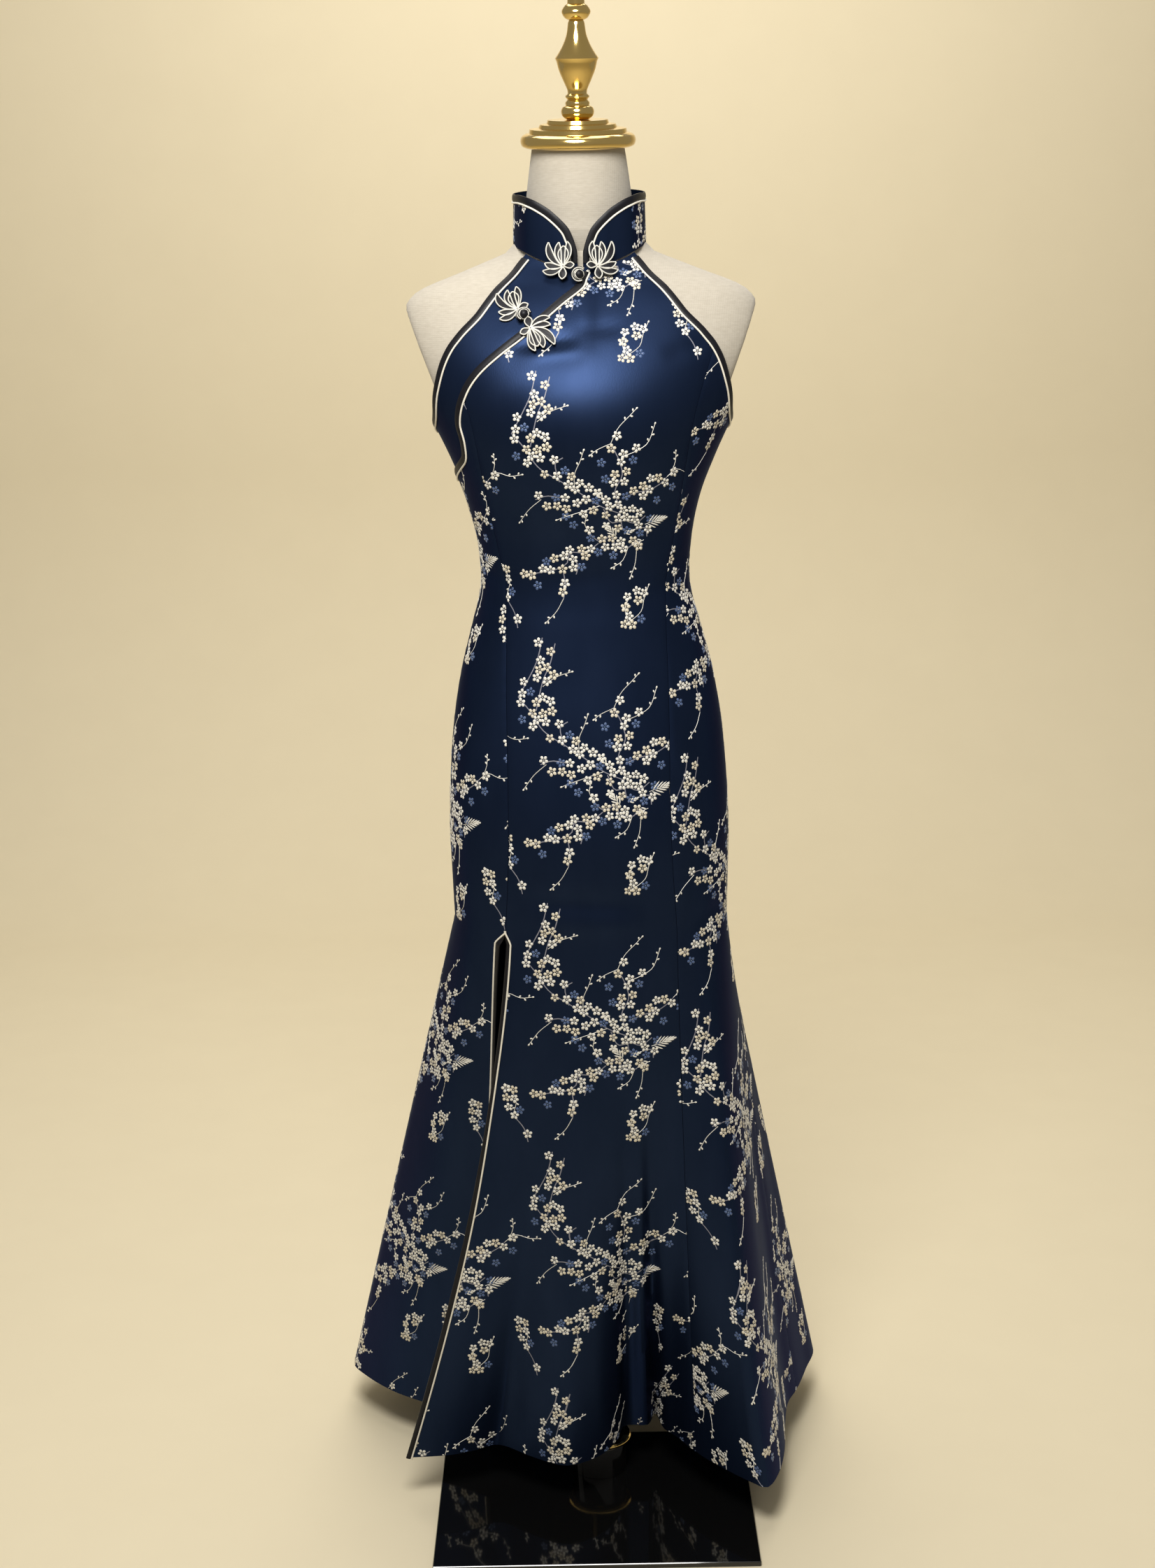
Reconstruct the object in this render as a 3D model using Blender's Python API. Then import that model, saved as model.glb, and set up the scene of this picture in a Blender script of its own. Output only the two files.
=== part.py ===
"""Halter cheongsam with a flared, slit skirt, on a linen-covered dress form with a stand.

Metres, +Z up, the front faces -Y, and +X is the wearer's left. The origin is on the pole's axis,
in the plane of the base plate's underside.

The cloth is one surface, surface(turn, z). Turn is the angle around the body in degrees, 0 at centre
front and 90 at the wearer's left side. Down to the knee line it is a stack of rings. Below it, every
point runs down towards its own place on the hem, which is drawn from above with all its folds. The
surface is open at the slit, so turn goes once round from one edge of the slit to the other.
"""

import math

import bmesh
import bpy
from mathutils import Matrix, Vector, geometry
from mathutils.bvhtree import BVHTree

# Driving sizes
WALL = 0.0016
GAP = 0.0003
HEM_Z = 0.056
KNEE_Z = 0.694
UNDERBUST_Z = 1.12
SIDE_TOP_Z = 1.2435
RIGHT_SIDE_TOP_Z = 1.190
ROUNDNESS = 2.2
NECK_LEAN = math.radians(8.0)
NECK_FOOT = Vector((0.0, 0.004, 1.440))
NECK_TOP_Z = 1.533

# The rings of the dress: half width, and how far the cloth stands before and behind the axis
RING_COLUMNS = ("z", "half_width", "front", "back")
RINGS = (
    (0.694, 0.1545, 0.112, 0.128),
    (0.745, 0.1560, 0.116, 0.138),
    (0.800, 0.1570, 0.118, 0.147),
    (0.860, 0.1545, 0.115, 0.145),
    (0.920, 0.1490, 0.108, 0.130),
    (0.975, 0.1395, 0.100, 0.111),
    (1.025, 0.1265, 0.094, 0.094),
    (1.070, 0.1155, 0.091, 0.086),
    (1.120, 0.1180, 0.099, 0.092),
    (1.165, 0.1275, 0.117, 0.102),
    (1.205, 0.1430, 0.130, 0.110),
    (1.2435, 0.1610, 0.136, 0.116),
    (1.280, 0.1800, 0.132, 0.119),
    (1.320, 0.1950, 0.118, 0.117),
    (1.360, 0.1990, 0.097, 0.109),
    (1.386, 0.1850, 0.081, 0.100),
    (1.407, 0.1370, 0.065, 0.090),
    (1.425, 0.0960, 0.056, 0.080),
    (1.4375, 0.0715, 0.050, 0.072),
    (1.452, 0.0500, 0.042, 0.064),
)

# The hem seen from above, panel by panel round from the slit. Ease is how late a fold starts
HEM_COLUMNS = ("x", "y", "ease")
HEM_FRONT_CENTRE = (
    (-0.2263, -0.0662, 1.45),
    (-0.1759, -0.0614, 1.40),
    (-0.1461, -0.0507, 1.50),
    (-0.1194, -0.0382, 1.70),
    (-0.0776, -0.0698, 1.40),
    (-0.0425, -0.0908, 1.20),
    (-0.0206, -0.0850, 1.20),
    (0.0040, -0.0644, 1.40),
    (0.0210, -0.0313, 1.70),
    (0.0301, 0.0029, 1.90),
    (0.0440, 0.0050, 2.00),
    (0.0580, 0.0040, 2.05),
    (0.0680, 0.0320, 2.05),
    (0.0775, -0.0058, 1.80),
    (0.0908, -0.0253, 1.60),
    (0.1120, -0.0640, 1.30),
)
HEM_FRONT_LEFT = (
    (0.1120, -0.0640, 1.30),
    (0.1404, -0.1021, 1.30),
    (0.1730, -0.1385, 1.30),
    (0.1879, -0.1500, 1.30),
    (0.2032, -0.1204, 1.25),
    (0.2154, -0.0670, 1.20),
    (0.2221, -0.0041, 1.15),
    (0.2310, 0.0545, 1.10),
    (0.2456, 0.0908, 1.10),
)
HEM_BACK_LEFT = (
    (0.2456, 0.0908, 1.10),
    (0.2627, 0.1473, 1.05),
    (0.2771, 0.2002, 1.00),
    (0.2650, 0.2520, 1.05),
    (0.2180, 0.2620, 1.15),
    (0.1750, 0.2850, 1.20),
    (0.1500, 0.3350, 1.10),
    (0.1050, 0.3520, 1.05),
    (0.0620, 0.3180, 1.20),
    (0.0260, 0.3040, 1.30),
    (0.0000, 0.3160, 1.25),
)
HEM_BACK_RIGHT = (
    (0.0000, 0.3160, 1.25),
    (-0.0320, 0.3460, 1.15),
    (-0.0780, 0.3620, 1.05),
    (-0.1180, 0.3350, 1.15),
    (-0.1520, 0.2920, 1.25),
    (-0.2050, 0.2850, 1.20),
    (-0.2570, 0.2850, 1.05),
    (-0.2980, 0.2480, 1.00),
    (-0.3099, 0.1832, 1.00),
)
HEM_FRONT_RIGHT = (
    (-0.3099, 0.1832, 1.00),
    (-0.2927, 0.1493, 1.05),
    (-0.2567, 0.1060, 1.10),
    (-0.2228, 0.0787, 1.10),
    (-0.1700, 0.0450, 0.95),
    (-0.1250, 0.0200, 0.80),
)

# Where the seams between the centre and side fronts run, from the knee line to the armhole
PRINCESS_COLUMNS = ("z", "x")
PRINCESS = (
    (0.694, 0.0945),
    (0.795, 0.0890),
    (0.950, 0.0880),
    (1.070, 0.0875),
    (1.147, 0.1000),
    (1.240, 0.1145),
    (1.283, 0.1253),
    (1.328, 0.1405),
)

# Edges of the bodice in front view, each from its inner end outwards
EDGE_COLUMNS = ("x", "z")
OVERLAP_EDGE = (
    (0.0040, 1.4065),
    (-0.0040, 1.3890),
    (-0.0212, 1.3754),
    (-0.0539, 1.3488),
    (-0.0845, 1.3263),
    (-0.1130, 1.3015),
    (-0.1253, 1.2829),
    (-0.1328, 1.2502),
    (-0.1282, 1.2289),
    (-0.1280, 1.2130),
)
UNDERLAP_EDGE = (
    (0.0050, 1.4040),
    (0.0000, 1.3750),
    (-0.0180, 1.3520),
    (-0.0450, 1.3230),
    (-0.0720, 1.3000),
    (-0.0920, 1.2750),
    (-0.1030, 1.2450),
    (-0.1060, 1.2150),
    (-0.1100, 1.1900),
)
UNDERLAP_SIDE_Z = 1.165
NECK_FRONT = ((0.0040, 1.4065), (0.0300, 1.4105), (0.0570, 1.4225))
NECK_BACK = ((0.0620, 1.4375), (0.0350, 1.4475), (0.0000, 1.4510))
ARMHOLE_FRONT = (
    (0.0570, 1.4225),
    (0.0820, 1.3945),
    (0.1080, 1.3640),
    (0.1310, 1.3400),
    (0.1405, 1.3280),
    (0.1560, 1.2880),
    (0.1600, 1.2580),
)
ARMHOLE_BACK = (
    (0.1600, 1.2620),
    (0.1530, 1.2950),
    (0.1390, 1.3300),
    (0.1180, 1.3650),
    (0.0900, 1.4050),
    (0.0620, 1.4375),
)

# The collar's foot beside the neck, where it bridges the shoulder, and its upper edge from the front end
COLLAR_SIDE = (0.0715, 0.004, 1.4340)
COLLAR_FRONT_X = 0.0030
COLLAR_TOP_COLUMNS = ("along", "z")
COLLAR_TOP = (
    (0.0000, 1.4200),
    (0.0020, 1.4280),
    (0.0046, 1.4360),
    (0.0085, 1.4450),
    (0.0140, 1.4520),
    (0.0227, 1.4600),
    (0.0350, 1.4690),
    (0.0500, 1.4765),
    (0.0750, 1.4820),
    (0.1050, 1.4845),
    (0.1500, 1.4900),
    (0.2150, 1.4965),
)

# Rows and columns of the cloth's mesh
SKIRT_ROWS = (0.056, 0.098, 0.152, 0.212, 0.275, 0.340, 0.405, 0.470, 0.535, 0.595, 0.645, 0.681)
TORSO_ROWS = (0.694, 0.745, 0.800, 0.860, 0.920, 0.975, 1.025, 1.070, 1.120)
BODICE_STEPS = 9
BODICE_EASE = 1.5
FRONT_TOP_COLUMNS = (11, 3, 8)
FRONT_LEFT_COLUMNS = 10
FRONT_RIGHT_COLUMNS = 8
BACK_TOP_COLUMNS = (8, 4)
UNDERLAP_ROWS = 10
UNDERLAP_COLUMNS = 6

# The slit opens a little at its top, and the front that laps over the chest rises over the piece below
SLIT_OPEN_FRONT = 0.0045
SLIT_OPEN_SIDE = 0.0085
LAP_RISE = 0.0032
LAP_WIDTH = 0.036
LAP_FADE = 0.040
LAP_END_FADE = 0.018
LAP_LOWEST_Z = 1.100

# Trims
BINDING_WIDTH = 0.0066
BINDING_THICK = 0.0010
BINDING_PROUD = 0.0009
PIPING_RADIUS = 0.0011
COLLAR_LIFT = 0.0009
COLLAR_TRIM_LIFT = 0.0045
COLLAR_TAPER = 0.0015
COLLAR_COLUMNS = 44
COLLAR_ROWS = 3

BINDING_OVERHANG = 0.0010
CAST_REACH = 0.012
CHORD_SHARES = (0.25, 0.5, 0.75)
CHORD_DIP = 0.0003
PIPING_OFFSET = 0.0015
PIPING_RISE = 0.0021
PIPING_SIDES = 4
COLLAR_TALL = 0.060
COLLAR_STEP = 0.002
COLLAR_CROWDING = 0.6
ARMHOLE_TRIM_STEPS = 22
OVERLAP_TRIM_STEPS = 22
SEAM_HALF = 0.00025
SLIT_POINT = 0.013
SLIT_FADE = 14.0
TURN_STEP = 0.25
HEIGHT_STEP = 0.001

# Dress form
FORM_ARM_BOTTOM_Z = 1.235
FORM_NECK_Z = 1.440
NECK_TILT_SPAN = 0.040
FORM_BOTTOM_Z = 0.735
FORM_SEGMENTS = 40
FORM_ARM_TOP = (0.1885, 1.371)
FORM_ARM_SLOPE = 0.3765
FORM_ARM_CORNER = (0.179, 1.386)
FORM_INSET_COLUMNS = ("z", "across", "along")
FORM_INSETS = (
    (0.735, 0.0090, 0.0090),
    (0.800, 0.0026, 0.0026),
    (0.860, 0.0026, 0.0026),
    (0.975, 0.0045, 0.0045),
    (1.070, 0.0045, 0.0045),
    (1.165, 0.0040, 0.0035),
    (1.205, 0.0080, 0.0034),
    (1.2435, 0.0100, 0.0038),
    (1.320, 0.0040, 0.0044),
    (1.360, 0.0045, 0.0055),
    (1.386, 0.0090, 0.0080),
    (1.407, 0.0120, 0.0100),
    (1.425, 0.0160, 0.0125),
)
NECK_COLUMNS = ("z", "half_width", "front", "back")
NECK_RINGS = (
    (1.446, 0.0600, 0.0560, 0.0580),
    (1.462, 0.0575, 0.0540, 0.0555),
    (1.482, 0.0563, 0.0530, 0.0540),
    (1.508, 0.0530, 0.0510, 0.0515),
    (1.533, 0.0492, 0.0490, 0.0490),
)

# Stand
PLATE_SIZE = (0.364, 0.304, 0.006)
PLATE_CENTRE = (-0.0060, -0.068)
PLATE_BEVEL = 0.0008
SOCKET_RADIUS = 0.032
SOCKET_TOP = 0.0445
RING_RADIUS = 0.038
RING_TOP = 0.0500
POLE_RADIUS = 0.0125
SOCKET_BEVEL = 0.0020
RING_BEVEL = 0.0012
SOCKET_SEGMENTS = 32
POLE_SEGMENTS = 16

# Brass above the neck, turned: radius and height above the neck's top
TURNED_COLUMNS = ("radius", "height")
CAP_PROFILE = (
    (0.0560, 0.0000),
    (0.0600, 0.0022),
    (0.0615, 0.0070),
    (0.0600, 0.0118),
    (0.0560, 0.0140),
    (0.0520, 0.0150),
    (0.0515, 0.0190),
    (0.0420, 0.0200),
    (0.0405, 0.0235),
    (0.0330, 0.0245),
    (0.0320, 0.0280),
)
FINIAL_PROFILE = (
    (0.0120, 0.0283),
    (0.0160, 0.0315),
    (0.0175, 0.0360),
    (0.0160, 0.0405),
    (0.0125, 0.0425),
    (0.0128, 0.0455),
    (0.0105, 0.0483),
    (0.0128, 0.0515),
    (0.0101, 0.0545),
    (0.0105, 0.0580),
    (0.0150, 0.0680),
    (0.0192, 0.0780),
    (0.0215, 0.0870),
    (0.0230, 0.0900),
    (0.0190, 0.0955),
    (0.0139, 0.1045),
    (0.0105, 0.1135),
    (0.0086, 0.1255),
    (0.0076, 0.1275),
    (0.0120, 0.1300),
    (0.0152, 0.1360),
    (0.0120, 0.1420),
    (0.0090, 0.1440),
    (0.0090, 0.1540),
    (0.0108, 0.1560),
    (0.0108, 0.1590),
    (0.0075, 0.1620),
)
CAP_SEGMENTS = 26
FINIAL_SEGMENTS = 18

# Frogs: the middle of each on the front, its turn from upright, and whether it lies on the lap
FROG_COLUMNS = ("x", "z", "tilt", "on_lap")
CHEST_FROGS = {
    "frog_chest_upper": (-0.0705, 1.3700, 20.0, False),
    "frog_chest_lower": (-0.0480, 1.3375, 200.0, True),
}
FROG_RADIUS = 0.0175
FROG_HEIGHT = 0.0022
FROG_LOBES = 7
FROG_POINTS = 42
COLLAR_FROG_X = 0.0195
COLLAR_FROG_Z = 1.4150
COLLAR_FROG_YAW = 14.0
COLLAR_FROG_Y = -0.0736
COLLAR_FROG_LEAN = -16.0
FROG_LOBE_POWER = 0.6
FROG_WAIST = 0.62
FROG_SHOULDER = 0.94
FROG_EDGE = 0.7
FROG_SEAT = 0.0006
FROG_REST = 0.0300
FROG_SLOPE = 0.17
FROG_OVER_TRIM = 0.0040
KNOT_RADIUS = 0.0052
KNOT_RINGS = 6
KNOT_SEGMENTS = 10
COLLAR_KNOT = (-0.0020, -0.0837, 1.4000)
CHEST_KNOT = (-0.0590, 1.3570)
CHEST_KNOT_RISE = 0.0070
CHEST_KNOT_SLOPE = 1.2
LOOP_ARC = math.radians(240.0)
LOOP_THICK = 0.0014
LOOP_STEPS = 10
LOOP_SIDES = 6

COLOURS = {
    "brocade": ((0.012, 0.022, 0.085), 0.38, 0.0),
    "binding": ((0.008, 0.008, 0.012), 0.45, 0.0),
    "piping": ((0.78, 0.74, 0.64), 0.45, 0.0),
    "cord": ((0.45, 0.44, 0.40), 0.40, 0.0),
    "linen": ((0.70, 0.62, 0.50), 0.90, 0.0),
    "brass": ((0.80, 0.55, 0.18), 0.18, 1.0),
    "gloss": ((0.006, 0.006, 0.007), 0.06, 0.0),
}


def column(row, name, columns):
    """One named value of a table's row."""
    return row[columns.index(name)]


def spline(keys, values, at):
    """A smooth curve through values at rising keys, with tangents that never overshoot much."""
    if at <= keys[0]:
        return values[0]
    if at >= keys[-1]:
        return values[-1]
    k = max(i for i in range(len(keys) - 1) if keys[i] <= at)

    def slope(i):
        lo, hi = max(i - 1, 0), min(i + 1, len(keys) - 1)
        return (values[hi] - values[lo]) / (keys[hi] - keys[lo])

    span = keys[k + 1] - keys[k]
    t = (at - keys[k]) / span
    h0, h1 = 2 * t**3 - 3 * t**2 + 1, t**3 - 2 * t**2 + t
    h2, h3 = 3 * t**2 - 2 * t**3, t**3 - t**2
    return h0 * values[k] + h1 * span * slope(k) + h2 * values[k + 1] + h3 * span * slope(k + 1)


def read(table, columns, name, z):
    """A table's named value at height z, smooth between its rows."""
    return spline([row[0] for row in table], [column(row, name, columns) for row in table], z)


def smooth_step(t):
    t = min(max(t, 0.0), 1.0)
    return t * t * (3 - 2 * t)


def ring(turn, z):
    """The cloth above the knee line."""
    s, c = math.sin(math.radians(turn)), math.cos(math.radians(turn))
    power = 2 / ROUNDNESS
    reach = read(RINGS, RING_COLUMNS, "front" if c > 0 else "back", z)
    x = math.copysign(abs(s) ** power, s) * read(RINGS, RING_COLUMNS, "half_width", z)
    return Vector((x, -math.copysign(abs(c) ** power, c) * reach, z))


def turn_of(x, z):
    """The turn at which the front of ring z has this x."""
    share = min(abs(x) / read(RINGS, RING_COLUMNS, "half_width", z), 1.0)
    return math.copysign(math.degrees(math.asin(share ** (ROUNDNESS / 2))), x)


def princess_turn(z):
    return turn_of(read(PRINCESS, PRINCESS_COLUMNS, "x", z), z)


SLIT_TURN = -princess_turn(KNEE_Z)
PANEL_TURNS = (SLIT_TURN, -SLIT_TURN, 90.0, 180.0, 270.0, SLIT_TURN + 360.0)
PANEL_HEMS = (HEM_FRONT_CENTRE, HEM_FRONT_LEFT, HEM_BACK_LEFT, HEM_BACK_RIGHT, HEM_FRONT_RIGHT)


def hem_table():
    """Every hem row with its turn. A panel's rows share its turns by their length along the hem."""
    table = []
    for start, end, hem in zip(PANEL_TURNS, PANEL_TURNS[1:], PANEL_HEMS):
        steps = [math.dist(a[:2], b[:2]) for a, b in zip(hem, hem[1:])]
        for i, row in enumerate(hem[:-1]):
            table.append((start + (end - start) * sum(steps[:i]) / sum(steps), *row))
    table.append((PANEL_TURNS[-1], *PANEL_HEMS[-1][-1]))
    return table


HEM = hem_table()
HEM_COLUMNS_BY_TURN = ("turn", *HEM_COLUMNS)


def surface(turn, z):
    """A point of the cloth's outer face."""
    if z >= KNEE_Z:
        return ring(turn, z)
    x, y, ease = (read(HEM, HEM_COLUMNS_BY_TURN, name, turn) for name in HEM_COLUMNS)
    down = (KNEE_Z - z) / (KNEE_Z - HEM_Z)
    at_knee = ring(turn, KNEE_Z)
    place = at_knee.lerp(Vector((x, y, KNEE_Z)), down**ease)
    place.z = z
    opened = min((KNEE_Z - z) / SLIT_POINT, 1.0)
    from_front = max(0.0, 1 - (turn - SLIT_TURN) / SLIT_FADE) ** 2
    from_side = max(0.0, 1 - (SLIT_TURN + 360 - turn) / SLIT_FADE) ** 2
    place.x += opened * (SLIT_OPEN_FRONT * (1 - down) * from_front - SLIT_OPEN_SIDE * from_side)
    return place


def directions(turn, z):
    """How the cloth runs here: per degree of turn, per metre of height, and its unit normal."""
    low, high = turn - TURN_STEP, turn + TURN_STEP
    if z < KNEE_Z:
        low, high = max(low, SLIT_TURN), min(high, SLIT_TURN + 360)
    across = (surface(high, z) - surface(low, z)) / (high - low)
    up = (surface(turn, z + HEIGHT_STEP) - surface(turn, z - HEIGHT_STEP)) / (2 * HEIGHT_STEP)
    return across, up, across.cross(up).normalized()


def raised(turn, z, rise=0.0):
    """A point so many metres out from the cloth's outer face."""
    return surface(turn, z) + directions(turn, z)[2] * rise


def moved(turn, z, step):
    """The turn and height of the point that a step along the cloth leads to."""
    across, up, _ = directions(turn, z)
    aa, ab, bb = across.dot(across), across.dot(up), up.dot(up)
    sa, sb = step.dot(across), step.dot(up)
    det = aa * bb - ab * ab
    return turn + (sa * bb - sb * ab) / det, z + (sb * aa - sa * ab) / det


def sideways(turn, z, distance):
    """The point so far along the cloth at the same height."""
    return turn + distance / directions(turn, z)[0].length, z


def front_points(edge, mirror=1):
    return [(turn_of(mirror * x, z), z) for x, z in edge]


def back_points(edge):
    return [(180.0 - turn_of(x, z), z) for x, z in edge]


def trace(points, count):
    """Evenly spaced points along a smooth curve through some points of the cloth."""
    places = [surface(*p) for p in points]
    reach = [0.0]
    for a, b in zip(places, places[1:]):
        reach.append(reach[-1] + (b - a).length)
    turns, heights = zip(*points)
    steps = [reach[-1] * i / count for i in range(count + 1)]
    return [(spline(reach, turns, s), spline(reach, heights, s)) for s in steps]


def joined(*curves):
    """Curves end to end, each shared end once."""
    line = list(curves[0])
    for curve in curves[1:]:
        line += curve[1:]
    return line


def mix(a, b, t):
    return a + (b - a) * t


def panel_grid(left, right, tops, turn_at):
    """Rows of (turn, z) from hem to top edge. left and right give a seam's turn at a height.

    Over the bust the columns lead to the top edge's points in front view, so turn_at gives the turn for
    an x and a height on this panel's side of the body.
    """
    count = len(tops) - 1
    shares = [i / count for i in range(count + 1)]
    rows = [[(mix(left(KNEE_Z), right(KNEE_Z), f), z) for f in shares] for z in SKIRT_ROWS]
    rows += [[(mix(left(z), right(z), f), z) for f in shares] for z in TORSO_ROWS]
    start = [ring(*p).x for p in rows[-1]]
    end = [ring(*p).x for p in tops]
    shares = [(x - start[0]) / (start[-1] - start[0]) for x in start]
    for step in range(1, BODICE_STEPS + 1):
        s = step / BODICE_STEPS
        left_z, right_z = (mix(UNDERBUST_Z, z, s) for z in (tops[0][1], tops[-1][1]))
        left_x, right_x = ring(left(left_z), left_z).x, ring(right(right_z), right_z).x
        row = []
        for f, x_end, (_, top) in zip(shares, end, tops):
            x = mix(left_x, right_x, f) + (x_end - mix(end[0], end[-1], f)) * s**BODICE_EASE
            z = mix(UNDERBUST_Z, top, s)
            row.append((turn_at(x, z), z))
        rows.append(row)
    return rows


def behind(x, z):
    return 180.0 - turn_of(x, z)


def round_the_back(x, z):
    return 360.0 + turn_of(x, z)


def spaced(rows):
    """The same rows with half a seam's gap taken off each side."""
    rows = [list(row) for row in rows]
    for row in rows:
        row[0] = sideways(*row[0], SEAM_HALF)
        row[-1] = sideways(*row[-1], -SEAM_HALF)
    return rows


OUTER_FACES = {}


def material(name):
    made = bpy.data.materials.get(name)
    if made is None:
        made = bpy.data.materials.new(name)
        made.use_nodes = True
        colour, roughness, metallic = COLOURS[name]
        shader = made.node_tree.nodes["Principled BSDF"]
        shader.inputs["Base Color"].default_value = (*colour, 1.0)
        shader.inputs["Roughness"].default_value = roughness
        shader.inputs["Metallic"].default_value = metallic
        made.diffuse_color = (*colour, 1.0)
    return made


def add(name, verts, faces, finish, crease=40.0):
    """An object from points and faces, facing out and shaded smooth between its creases."""
    mesh = bpy.data.meshes.new(name)
    mesh.from_pydata([tuple(v) for v in verts], [], faces)
    shape = bmesh.new()
    shape.from_mesh(mesh)
    bmesh.ops.recalc_face_normals(shape, faces=shape.faces)
    if shape.calc_volume(signed=True) < 0:
        bmesh.ops.reverse_faces(shape, faces=shape.faces)
    shape.to_mesh(mesh)
    shape.free()
    mesh.shade_smooth()
    mesh.set_sharp_from_angle(angle=math.radians(crease))
    mesh.materials.append(material(finish))
    thing = bpy.data.objects.new(name, mesh)
    bpy.context.scene.collection.objects.link(thing)
    return thing


def split(grid, j, i):
    """The two triangles of one cell of a grid, cut along the shorter diagonal."""
    corners = ((j, i), (j, i + 1), (j + 1, i + 1), (j + 1, i))
    a, b, c, d = (grid[k][m] for k, m in corners)
    if (a - c).length < (b - d).length:
        return [(corners[0], corners[1], corners[2]), (corners[0], corners[2], corners[3])]
    return [(corners[0], corners[1], corners[3]), (corners[1], corners[2], corners[3])]


def add_wall(name, outer, inner, finish):
    """A closed wall between two grids of points of the same size."""
    high, wide = len(outer), len(outer[0])
    verts = [v for grid in (outer, inner) for row in grid for v in row]
    cells = [three for j in range(high - 1) for i in range(wide - 1) for three in split(outer, j, i)]
    skin = [tuple(j * wide + i for j, i in three) for three in cells]
    OUTER_FACES[name] = (verts[: high * wide], skin)
    faces = skin + [tuple(v + high * wide for v in reversed(face)) for face in skin]
    rim = [(0, i) for i in range(wide)] + [(j, wide - 1) for j in range(1, high)]
    rim += [(high - 1, i) for i in reversed(range(wide - 1))]
    rim += [(j, 0) for j in reversed(range(1, high - 1))]
    for (j, i), (m, k) in zip(rim, rim[1:] + rim[:1]):
        a, b = j * wide + i, m * wide + k
        faces.append((b, a, a + high * wide, b + high * wide))
    return add(name, verts, faces, finish)


def add_tube(name, sections, finish, crease=40.0):
    """A solid through sections that each have the same number of points."""
    size = len(sections[0])
    verts = [v for section in sections for v in section]
    faces = []
    for j in range(len(sections) - 1):
        for i in range(size):
            k = (i + 1) % size
            faces.append((j * size + i, j * size + k, (j + 1) * size + k, (j + 1) * size + i))
    faces.append(tuple(range(size)))
    faces.append(tuple(range(len(verts) - size, len(verts))))
    return add(name, verts, faces, finish, crease)


def cloth(name, rows, rise_of=None):
    """A panel's wall from rows of (turn, z), raised where rise_of says so."""
    outer, inner = [], []
    for row in rows:
        rises = [rise_of(*p) if rise_of else 0.0 for p in row]
        outer.append([raised(*p, rise) for p, rise in zip(row, rises)])
        inner.append([raised(*p, rise - WALL) for p, rise in zip(row, rises)])
    return add_wall(name, outer, inner, "brocade")


def minus_princess(z):
    return -princess_turn(z)


def right_princess(z):
    return 360.0 - princess_turn(z)


OVERLAP_TO_SEAM = front_points(OVERLAP_EDGE[:7])
OVERLAP_TO_SIDE = front_points(OVERLAP_EDGE[6:]) + [(-90.0, RIGHT_SIDE_TOP_Z)]
ARMHOLE_TO_SEAM = front_points(ARMHOLE_FRONT[:5])
ARMHOLE_TO_SIDE = front_points(ARMHOLE_FRONT[4:]) + [(90.0, SIDE_TOP_Z)]
ARMHOLE_BEHIND = [(90.0, SIDE_TOP_Z)] + back_points(ARMHOLE_BACK)
NECK_BEHIND = back_points(NECK_BACK)


def lap_distance(place):
    """How far a point is from the edge of the lap."""
    edge = [surface(*p) for p in joined(OVERLAP_TO_SEAM, OVERLAP_TO_SIDE)]
    nearest = [geometry.intersect_point_line(place, a, b) for a, b in zip(edge, edge[1:])]
    spots = [a.lerp(b, min(max(t, 0.0), 1.0)) for (_, t), a, b in zip(nearest, edge, edge[1:])]
    return min((place - spot).length for spot in spots)


def lap_rise(turn, z):
    """How far the lapping front stands out: fully beside the lap's edge, not at all further down."""
    if z < LAP_LOWEST_Z:
        return 0.0
    place = surface(turn, z)
    beside = 1 - smooth_step((lap_distance(place) - LAP_WIDTH) / LAP_FADE)
    return LAP_RISE * beside * (1 - smooth_step((place.x - COLLAR_FRONT_X) / LAP_END_FADE))


def turned_round(points):
    """The same points of the wearer's right side, counted on past the back."""
    return [(turn % 360.0, z) for turn, z in reversed(points)]


def mirrored(points):
    return [(360.0 - turn, z) for turn, z in reversed(points)]


def build_front_centre():
    overlap, neck, armhole = FRONT_TOP_COLUMNS
    tops = joined(
        trace(OVERLAP_TO_SEAM[::-1], overlap),
        trace(front_points(NECK_FRONT), neck),
        trace(ARMHOLE_TO_SEAM, armhole),
    )
    rows = spaced(panel_grid(minus_princess, princess_turn, tops, turn_of))
    cloth("front_centre", rows, lap_rise)


def build_front_left():
    tops = trace(ARMHOLE_TO_SIDE, FRONT_LEFT_COLUMNS)
    cloth("front_side_left", spaced(panel_grid(princess_turn, lambda z: 90.0, tops, turn_of)))


def build_front_right():
    tops = turned_round(trace(OVERLAP_TO_SIDE, FRONT_RIGHT_COLUMNS))
    rows = spaced(panel_grid(lambda z: 270.0, right_princess, tops, round_the_back))
    cloth("front_side_right", rows, lap_rise)


def build_backs():
    armhole, neck = BACK_TOP_COLUMNS
    tops = joined(trace(ARMHOLE_BEHIND, armhole), trace(NECK_BEHIND, neck))
    cloth("back_left", spaced(panel_grid(lambda z: 90.0, lambda z: 180.0, tops, behind)))
    tops = mirrored(tops)
    cloth("back_right", spaced(panel_grid(lambda z: 180.0, lambda z: 270.0, tops, behind)))


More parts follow.
